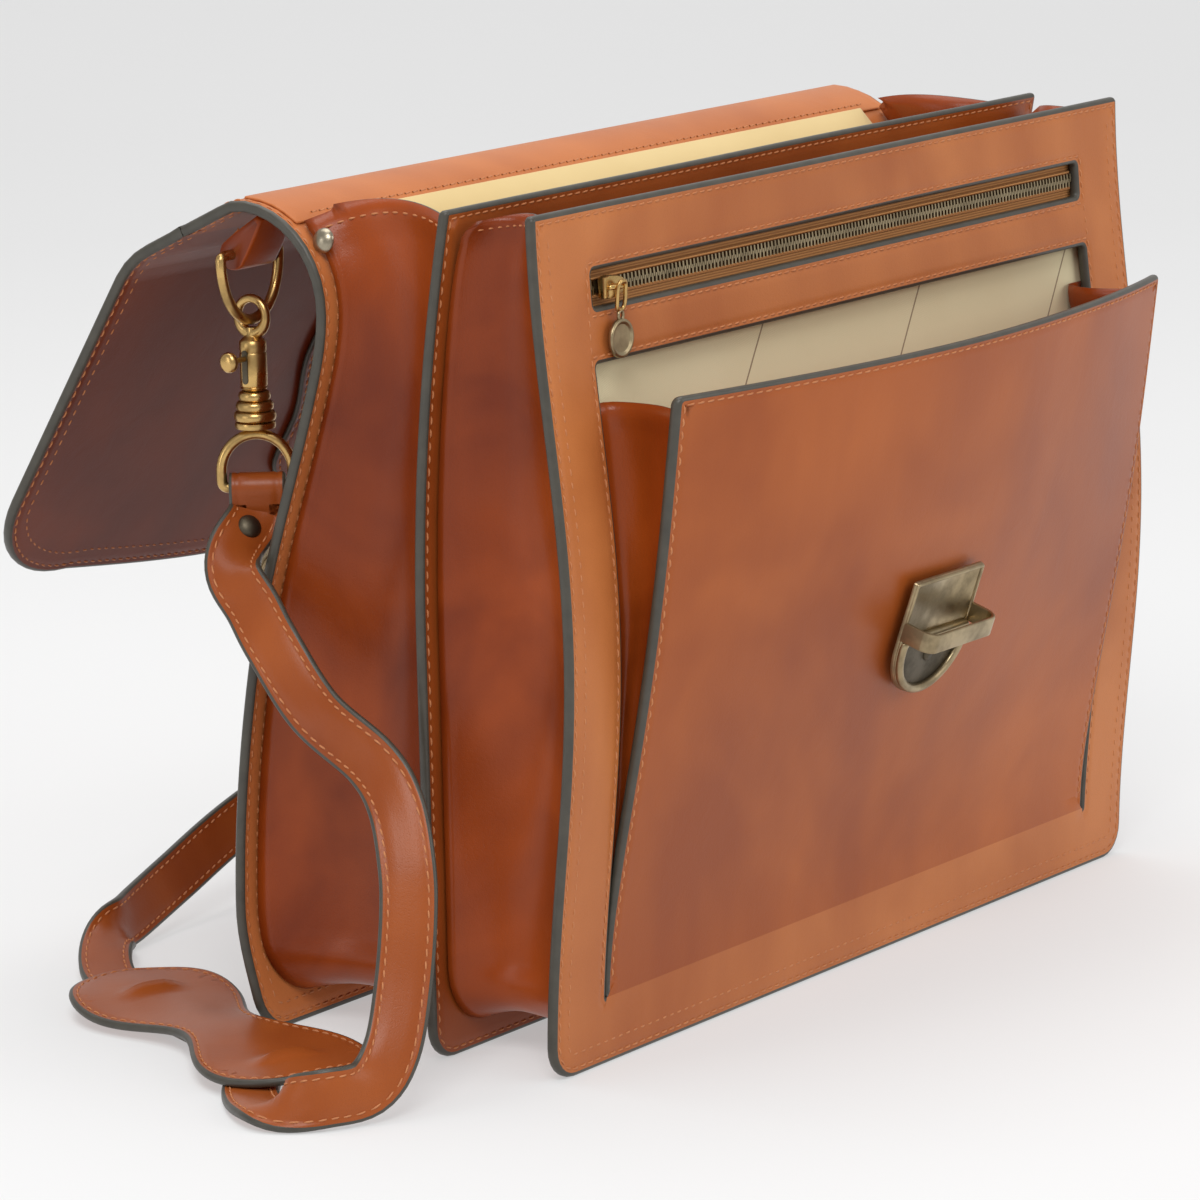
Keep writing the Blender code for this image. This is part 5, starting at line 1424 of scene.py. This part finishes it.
def grip_shape():
    """Sections of the roll, flattened into the strip at each end."""
    points = []
    count, sides = 64, 20
    for n in range(count + 1):
        s = -1.1 + 2.2 * n / count
        clipped = max(-1, min(1, s))
        run = (grip_line(clipped + 0.01) - grip_line(clipped - 0.01)).normalized()
        spot = grip_line(clipped) + run * (s - clipped) * 0.045
        across = Vector((0, 1, 0)).cross(run)
        round_part = min(max((0.90 - abs(s)) / 0.12, 0), 1)
        round_part = round_part ** 2 * (3 - 2 * round_part)
        wide = 0.0054 + (0.0066 - 0.0054) * round_part
        thick = 0.0024 + (0.0066 - 0.0024) * round_part
        if abs(s) > 1.0:
            wide *= math.sqrt(max(0.0004, 1 - ((abs(s) - 1.0) / 0.101) ** 2))
        for k in range(sides):
            a = math.tau * k / sides
            points.append(spot + across * wide * math.cos(a) + Vector((0, 1, 0)) * thick * math.sin(a))
    return shown("handle_roll", points, ringed(count + 1, sides), [GRAIN])


grip = grip_shape()
stands_for(grip, "handle_grip", "handle")


def on_grip(u, v, t):
    """Just under the roll: v runs along it."""
    s = -0.78 + v
    run = (grip_line(s + 0.01) - grip_line(s - 0.01)).normalized()
    across = Vector((0, 1, 0)).cross(run)
    return grip_line(s) - across * (0.0064 + t) + Vector((0, u, 0))


grip_rows = seam("handle_stitches", [[(0, 1.56 * n / 60) for n in range(61)]], on_grip, 0.0, 0.060, 0.042,
                 0.0005)
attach(grip_rows, "handle")


# ---- the strap's hardware
# At each side a stitched hide chape is sewn under the roll and holds a wire D-ring. A golden snap hook with
# a thumb bolt and a turned swivel hangs from it, and carries the ring that the strap is riveted round.
RING_X = 0.177
RING_Y = CURL_Y + 0.0075
RING_Z = CURL_START + 0.0165
RING_WIRE = 0.0019
RING_HALF = 0.0162
RING_DROP = 0.024
RING_RUN = Vector((0.587, -0.810, 0))


def chape(side, label):
    """The strip goes round the bar and its two layers close behind it, stitched at both ends."""
    bar = Vector((RING_Y, RING_Z))
    hole = RING_WIRE + 0.0008
    outer = hole + 0.0030
    tail_end = Vector((CURL_Y - 0.005, CURL_START + CURL_RADIUS - HIDE_THICK / 2 - 0.0024))
    away = (tail_end - bar).normalized()
    normal = Vector((-away.y, away.x))
    start = math.atan2(normal.y, normal.x)
    ring = [bar + outer * Vector((math.cos(start + math.pi * n / 16), math.sin(start + math.pi * n / 16)))
            for n in range(17)]
    section = [bar + outer * normal * 0.80 + away * 0.006] + ring
    section += [bar - outer * normal * 0.80 + away * 0.006]
    section += [tail_end - normal * 0.0013, tail_end + normal * 0.0013]
    wide = 0.0100
    points, faces = [], []
    size = len(section)
    xs = [(-wide, 0.82), (-wide + 0.0006, 0.95), (-wide + 0.0016, 1.0), (0.0, 1.02), (wide - 0.0016, 1.0),
          (wide - 0.0006, 0.95), (wide, 0.82)]
    centre = sum(section, Vector((0, 0))) / size
    for x, grow in xs:
        for p in section:
            q = p if grow >= 1 else p.lerp(centre, (1 - grow) * 0.6)
            points.append(Vector((side * RING_X + x, q.x, q.y)))
    for n in range(len(xs) - 1):
        low, high = n * size, (n + 1) * size
        faces += [(low + k, high + k, high + (k + 1) % size, low + (k + 1) % size) for k in range(size)]
    indices = [0] * len(faces)
    faces += [tuple(range(size)), tuple(range((len(xs) - 1) * size, len(xs) * size))[::-1]]
    indices += [1, 1]
    # Both hides of the chape are darkened copies, painted shade under the roll.
    piece = shown("ring_chape_" + label, points, faces, [SHADED_SOFT_GRAIN, DARK_SHADE_GRAIN], indices)
    shape = bmesh.new()
    shape.from_mesh(piece.data)
    bmesh.ops.recalc_face_normals(shape, faces=shape.faces)
    shape.to_mesh(piece.data)
    shape.free()
    piece.data.shade_smooth()
    piece.data.set_sharp_from_angle(angle=math.radians(60))
    stands_for(piece, "chape_" + label, "back")

    def on_chape(u, v, t):
        face = bar - normal * (outer * 0.98 + t)
        spot = face + away * (v if v > 0 else 0)
        return Vector((side * RING_X + u, spot.x, spot.y))
    for end in (-1, 1):
        line = [(end * (wide - 0.0035), 0.001), (end * (wide - 0.0035), 0.0075)]
        rows = seam("ring_chape_stitches_" + label + ("_a" if end < 0 else "_b"), [line], on_chape, -0.0002,
                    0.0030, 0.0022, 0.0004)
        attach(rows, "back")


def d_ring(side, label):
    corner = 0.0035
    bow = [(RING_HALF * math.cos(a), -RING_DROP * max(math.sin(a), 0) ** 0.9)
           for a in [math.pi * n / 40 for n in range(2, 39)]]
    line = [(RING_HALF - corner + corner * math.sin(a), corner * (math.cos(a) - 1) * 0.35)
            for a in [math.pi / 2 * n / 5 for n in range(6)]] + bow
    line += [(-x, z) for x, z in reversed(line[:6])]
    places = [(side * RING_X + x, RING_Y, RING_Z + z) for x, z in line]
    ring = tube("ring_of_the_case_" + label, places, RING_WIRE, GOLDEN, closed=True)
    stands_for(ring, "d_ring_" + label, "hook_" + label)


HOOK_TOP = RING_Z - 0.0170
BARREL_TOP = RING_Z - 0.0310
BARREL_FOOT = RING_Z - 0.0490
SWIVEL_FOOT = RING_Z - 0.0625
TRIGGER_Z = RING_Z - 0.0405


def snap_hook(side, label):
    """A cast eye flattened on its sides, its neck, and the barrel, with a thin dark sheet on it as painted
    shade where the bolt's slot is.
    """
    x = side * RING_X
    eye_z = HOOK_TOP - 0.0058
    line = [(x, RING_Y + 0.0062 * math.sin(a), eye_z + 0.0062 * math.cos(a))
            for a in [math.tau * n / 40 for n in range(40)]]
    thick = [0.0016 + 0.0006 * max(0, -math.cos(math.tau * n / 40)) for n in range(40)]
    eye = tube("hook_eye_" + label, line, thick, GOLDEN, closed=True)
    stands_for(eye, "snap_hook_" + label, "hook_" + label)
    radius = 0.0048
    profile = [(0.00001, BARREL_TOP + 0.0042), (0.0020, BARREL_TOP + 0.0042), (0.0023, BARREL_TOP + 0.0016),
               (0.0031, BARREL_TOP + 0.0008), (radius - 0.0008, BARREL_TOP), (radius, BARREL_TOP - 0.0008),
               (radius, BARREL_TOP - 0.0040), (radius - 0.0003, BARREL_TOP - 0.0046),
               (radius, BARREL_TOP - 0.0052), (radius, BARREL_FOOT + 0.0018),
               (radius - 0.0004, BARREL_FOOT + 0.0013), (radius, BARREL_FOOT + 0.0008),
               (radius - 0.0006, BARREL_FOOT), (0.00001, BARREL_FOOT)]
    barrel = turned("hook_barrel_" + label, profile, GOLDEN, Matrix.Translation((x, RING_Y, 0)))
    barrel.parent = eye

    def on_barrel(u, v, out):
        return Vector((x - radius * 0.985 - out, RING_Y + u, TRIGGER_Z + v))
    # The slot is not cut: a thin dark sheet on the barrel is painted shade for the inside of the slot.
    slot_cut = window(-0.0012, -0.0060, 0.0012, 0.0060, 0.0011, 0.0011)
    slot = cast("hook_slot_shade_" + label, slot_cut, [(0, 0), (0, 0.0002)], on_barrel, DARK_BRASS_AND_SLOT_SHADE)
    slot.parent = eye


def trigger(side, label):
    x = side * RING_X
    home = towards(Vector((x, RING_Y, TRIGGER_Z + 0.0030)), (-1, 0, 0))
    profile = [(0.00001, 0.0155), (0.0016, 0.0155), (0.0028, 0.0151), (0.0035, 0.0144), (0.0037, 0.0136),
               (0.0035, 0.0128), (0.0026, 0.0121), (0.0014, 0.0117), (0.0010, 0.0108), (0.0010, 0.0018),
               (0.00001, 0.0018)]
    knob = turned("hook_knob_" + label, profile, GOLDEN, home, 28)
    stands_for(knob, "hook_trigger_" + label, "trigger_" + label)


def swivel(side, label):
    """Three turned beads, a narrow waist and a flat foot."""
    profile = [(0.00001, BARREL_FOOT - GAP)]
    bead = (BARREL_FOOT - GAP - SWIVEL_FOOT - 0.0025) / 3
    for n in range(3):
        top = BARREL_FOOT - GAP - n * bead
        grow = (0.0046, 0.0056, 0.0064)[n]
        profile += [(grow + 0.0011 * math.sin(math.pi * k / 8),
                     top - bead * (0.5 - 0.5 * math.cos(math.pi * k / 8))) for k in range(9)]
    profile += [(0.0058, SWIVEL_FOOT + 0.0024), (0.0071, SWIVEL_FOOT + 0.0020),
                (0.0072, SWIVEL_FOOT + 0.0016), (0.0072, SWIVEL_FOOT + 0.0004),
                (0.0070, SWIVEL_FOOT), (0.00001, SWIVEL_FOOT)]
    piece = turned("hook_beads_" + label, profile, GOLDEN, Matrix.Translation((side * RING_X, RING_Y, 0)), 44)
    stands_for(piece, "hook_swivel_" + label, "hook_" + label)


def strap_ring(side, label):
    x = side * RING_X
    half = 0.0125
    top = SWIVEL_FOOT - GAP - RING_WIRE
    foot = top - 0.0190
    arch = [(half * math.cos(a), foot + 0.006 + (top - foot - 0.006) * math.sin(a))
            for a in [math.pi * n / 28 for n in range(29)]]
    line = [(half, foot + 0.0030), *arch, (-half, foot + 0.0030)]
    line += [(-half + 0.0024 - 0.0024 * math.cos(a), foot + 0.0024 - 0.0024 * math.sin(a))
             for a in [math.pi / 2 * n / 5 for n in range(1, 6)]]
    line += [(-u, z) for u, z in reversed(line[-5:])]
    places = [Vector((x, RING_Y, z)) + RING_RUN * u for u, z in line]
    ring = tube("strap_d_ring_" + label, places, RING_WIRE, GOLDEN, closed=True)
    stands_for(ring, "strap_ring_" + label, "hook_" + label)


for side, label in ((-1, "left"), (1, "right")):
    for make in (chape, d_ring, snap_hook, trigger, swivel, strap_ring):
        make(side, label)


def fitted_rivet(name, node, finish, body, axis, dome=RIVET_DOME):
    low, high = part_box(node)
    middle = (Vector(low) + Vector(high)) / 2
    piece = turned(name, dome, finish, towards(middle - Vector(axis) * 0.0003, axis), 32)
    stands_for(piece, node, body)


for side, label in ((-1, "left"), (1, "right")):
    tilt = Vector((side * math.cos(math.radians(12)), 0, math.sin(math.radians(12))))
    fitted_rivet("gusset_dome_" + label, "gusset_rivet_" + label, NICKEL, "back", tuple(tilt.normalized()))


def strap_loop(side, label, line):
    """The strap's end goes round the ring's bar and is held to itself by one rivet, domed on both faces."""
    bar = Vector((side * RING_X, RING_Y, SWIVEL_FOOT - GAP - RING_WIRE - 0.0190))
    path = [Vector(p) for p in [(0.0014, -0.0110), *arc((0, 0), 0.0039, -25, 205, 20), (-0.0014, -0.0110)]]
    walked = [0.0]
    for a, b in zip(path, path[1:]):
        walked.append(walked[-1] + (b - a).length)

    def on_loop(u, v, t):
        n = max(k for k in range(len(path) - 1) if walked[k] <= v or k == 0)
        share = (v - walked[n]) / (walked[n + 1] - walked[n])
        spot = path[n].lerp(path[n + 1], share)
        before, after = path[max(n - 1, 0)], path[min(n + 2, len(path) - 1)]
        run = (path[n + 1] - before).normalized().lerp((after - path[n]).normalized(), share).normalized()
        spot += Vector((run.y, -run.x)) * t
        return bar + RING_RUN * u + STRAP_FACING * spot.x + Vector((0, 0, spot.y))
    half = STRAP_WIDTH / 2
    cut = window(-half, 0, half, walked[-1])
    loop = plate("strap_loop_" + label, [cut], on_loop, 0.0030, [GRAIN, EDGE, GRAIN], step=0.0015,
                 bead=0.0011)
    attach(loop, "hook_" + label)
    near = min(range(30), key=lambda n: abs((line[n] - line[0]).length - 0.010))
    run = (line[near + 1] - line[near - 1]).normalized()
    out = run.cross(STRAP_FACING).cross(run).normalized()
    front_stud = turned("strap_stud_" + label, RIVET_DOME, DARK_BRASS_AND_SLOT_SHADE,
                        towards(line[near] + out * (STRAP_THICK / 2 + 0.0003), out), 32)
    stands_for(front_stud, "strap_rivet_" + label, "hook_" + label)
    rear_stud = turned("strap_stud_rear_" + label, RIVET_DOME, DARK_BRASS_AND_SLOT_SHADE,
                       towards(line[near] - out * (STRAP_THICK / 2 + 0.0003), -out), 32)
    rear_stud.parent = front_stud


strap_loop(-1, "left", left_line)
strap_loop(1, "right", right_line)


# ---- the shoulder pad
# A waved slip of two hides round which the strap's two halves lie, its edge painted and stitched, with two
# raised slots near its ends that the strap passes under.
PAD_LENGTH = 0.165
PAD_WAIST = 0.017
PAD_WIDE = 0.031
PAD_TURN = math.atan2(-0.913, -0.408)
pad_home = Matrix.Translation((-0.212, 0.079, 0.0046 + 0.0015)) @ Matrix.Rotation(PAD_TURN, 4, "Z")
pad_side = []
for n in range(61):
    a = math.pi * n / 60
    along = -PAD_LENGTH / 2 * math.cos(a)
    spread = min(abs(along) / (0.30 * PAD_LENGTH), 1)
    swell = PAD_WAIST + (PAD_WIDE - PAD_WAIST) * math.sin(math.pi * spread / 2) ** 2
    end = math.sqrt(max(0.0, 1 - max(0.0, (abs(along) - 0.30 * PAD_LENGTH) / (0.20 * PAD_LENGTH)) ** 2))
    pad_side.append((along, swell * end))
pad_cut = pad_side[1:-1] + [(along, -half) for along, half in reversed(pad_side[1:-1])]


def on_pad(u, v, t):
    """The pad lies a little waved, humped over the strap beneath it, its ends lifting from the floor."""
    hump = 0.0022 * math.exp(-(v / 0.012) ** 2)
    rise = 0.0030 * max(0, abs(u) / (PAD_LENGTH / 2) - 0.55) ** 1.5 + 0.0007 * math.sin(u * 85 + 0.8)
    slots = 0.0030 * sum(math.exp(-((u - c) / 0.0030) ** 2 - (v / 0.011) ** 4) for c in (-0.052, 0.052))
    curl = 0.0018 * (abs(v) / PAD_WIDE) ** 2 * math.sin(u * 60)
    return pad_home @ Vector((u, v, t + hump * 0.5 + rise + slots + curl))


pad = plate("pad_hide", [pad_cut], on_pad, 0.003, [GRAIN, EDGE, GRAIN], step=0.003)
stands_for(pad, "shoulder_pad", "back")
pad_row = [tuple(p) for p in inset(turned_to(dense(pad_cut, 0.003), True), 0.0032)]
rows = seam("pad_stitches", [pad_row + pad_row[:1]], on_pad, 0.0012)
rows.parent = pad


# ---- the floor and the light
# A plain pale sweep under soft studio lamps.
def floor_finish():
    material, tree, shader = surface("pale floor")
    place = tree.nodes.new("ShaderNodeTexCoord").outputs["Object"]
    cloud = put(tree, "TexNoise", [("Vector", place)], Scale=2.0)
    tint = blend_colour(tree, cloud.outputs[0], (0.42, 0.42, 0.42, 1), (0.44, 0.44, 0.44, 1))
    shader.inputs["Emission Color"].default_value = (1, 1, 1, 1)
    shader.inputs["Emission Strength"].default_value = 0.42
    tree.links.new(tint, shader.inputs["Base Color"])
    shader.inputs["Roughness"].default_value = 0.9
    shader.inputs["Specular IOR Level"].default_value = 0.1
    return material


sweep = [(-9, 0.0), (2.0, 0.0)] + [(2.0 + 2.0 * math.sin(a), 2.0 - 2.0 * math.cos(a))
                                   for a in [math.radians(10 * n) for n in range(1, 10)]] + [(4.0, 9.0)]
turn_to_camera = Matrix.Rotation(-yaw, 4, "Z")
floor_points = [turn_to_camera @ Vector((x, y, z)) for y, z in sweep for x in (-9, 9)]
floor_faces = [(2 * n, 2 * n + 1, 2 * n + 3, 2 * n + 2) for n in range(len(sweep) - 1)]
floor = shown("floor", floor_points, floor_faces, [floor_finish()])


def lamp(name, place, aim, size, power, tint=(1, 1, 1)):
    light = bpy.data.lights.new(name, "AREA")
    light.shape = "RECTANGLE"
    light.size, light.size_y = size
    light.energy = power
    light.color = tint
    holder = bpy.data.objects.new(name, light)
    turn = (Vector(aim) - Vector(place)).to_track_quat("-Z", "Y").to_matrix().to_4x4()
    holder.matrix_world = Matrix.Translation(place) @ turn
    bpy.context.scene.collection.objects.link(holder)


lamp("key", (-1.6, -0.9, 1.9), (0, 0, 0.12), (1.0, 1.0), 26)
lamp("front", (0.6, -2.2, 1.2), (0, 0, 0.12), (1.6, 1.2), 14)
lamp("top", (0.2, 0.5, 2.4), (0, 0.05, 0.2), (1.8, 1.8), 27)
lamp("side", (-2.4, 0.9, 0.7), (-0.1, 0, 0.15), (0.8, 1.2), 5)
world = bpy.data.worlds.new("studio")
bpy.context.scene.world = world
world.use_nodes = True
world.node_tree.nodes["Background"].inputs["Color"].default_value = (0.92, 0.92, 0.92, 1)
world.node_tree.nodes["Background"].inputs["Strength"].default_value = 0.50
bpy.context.scene.view_settings.view_transform = "Standard"
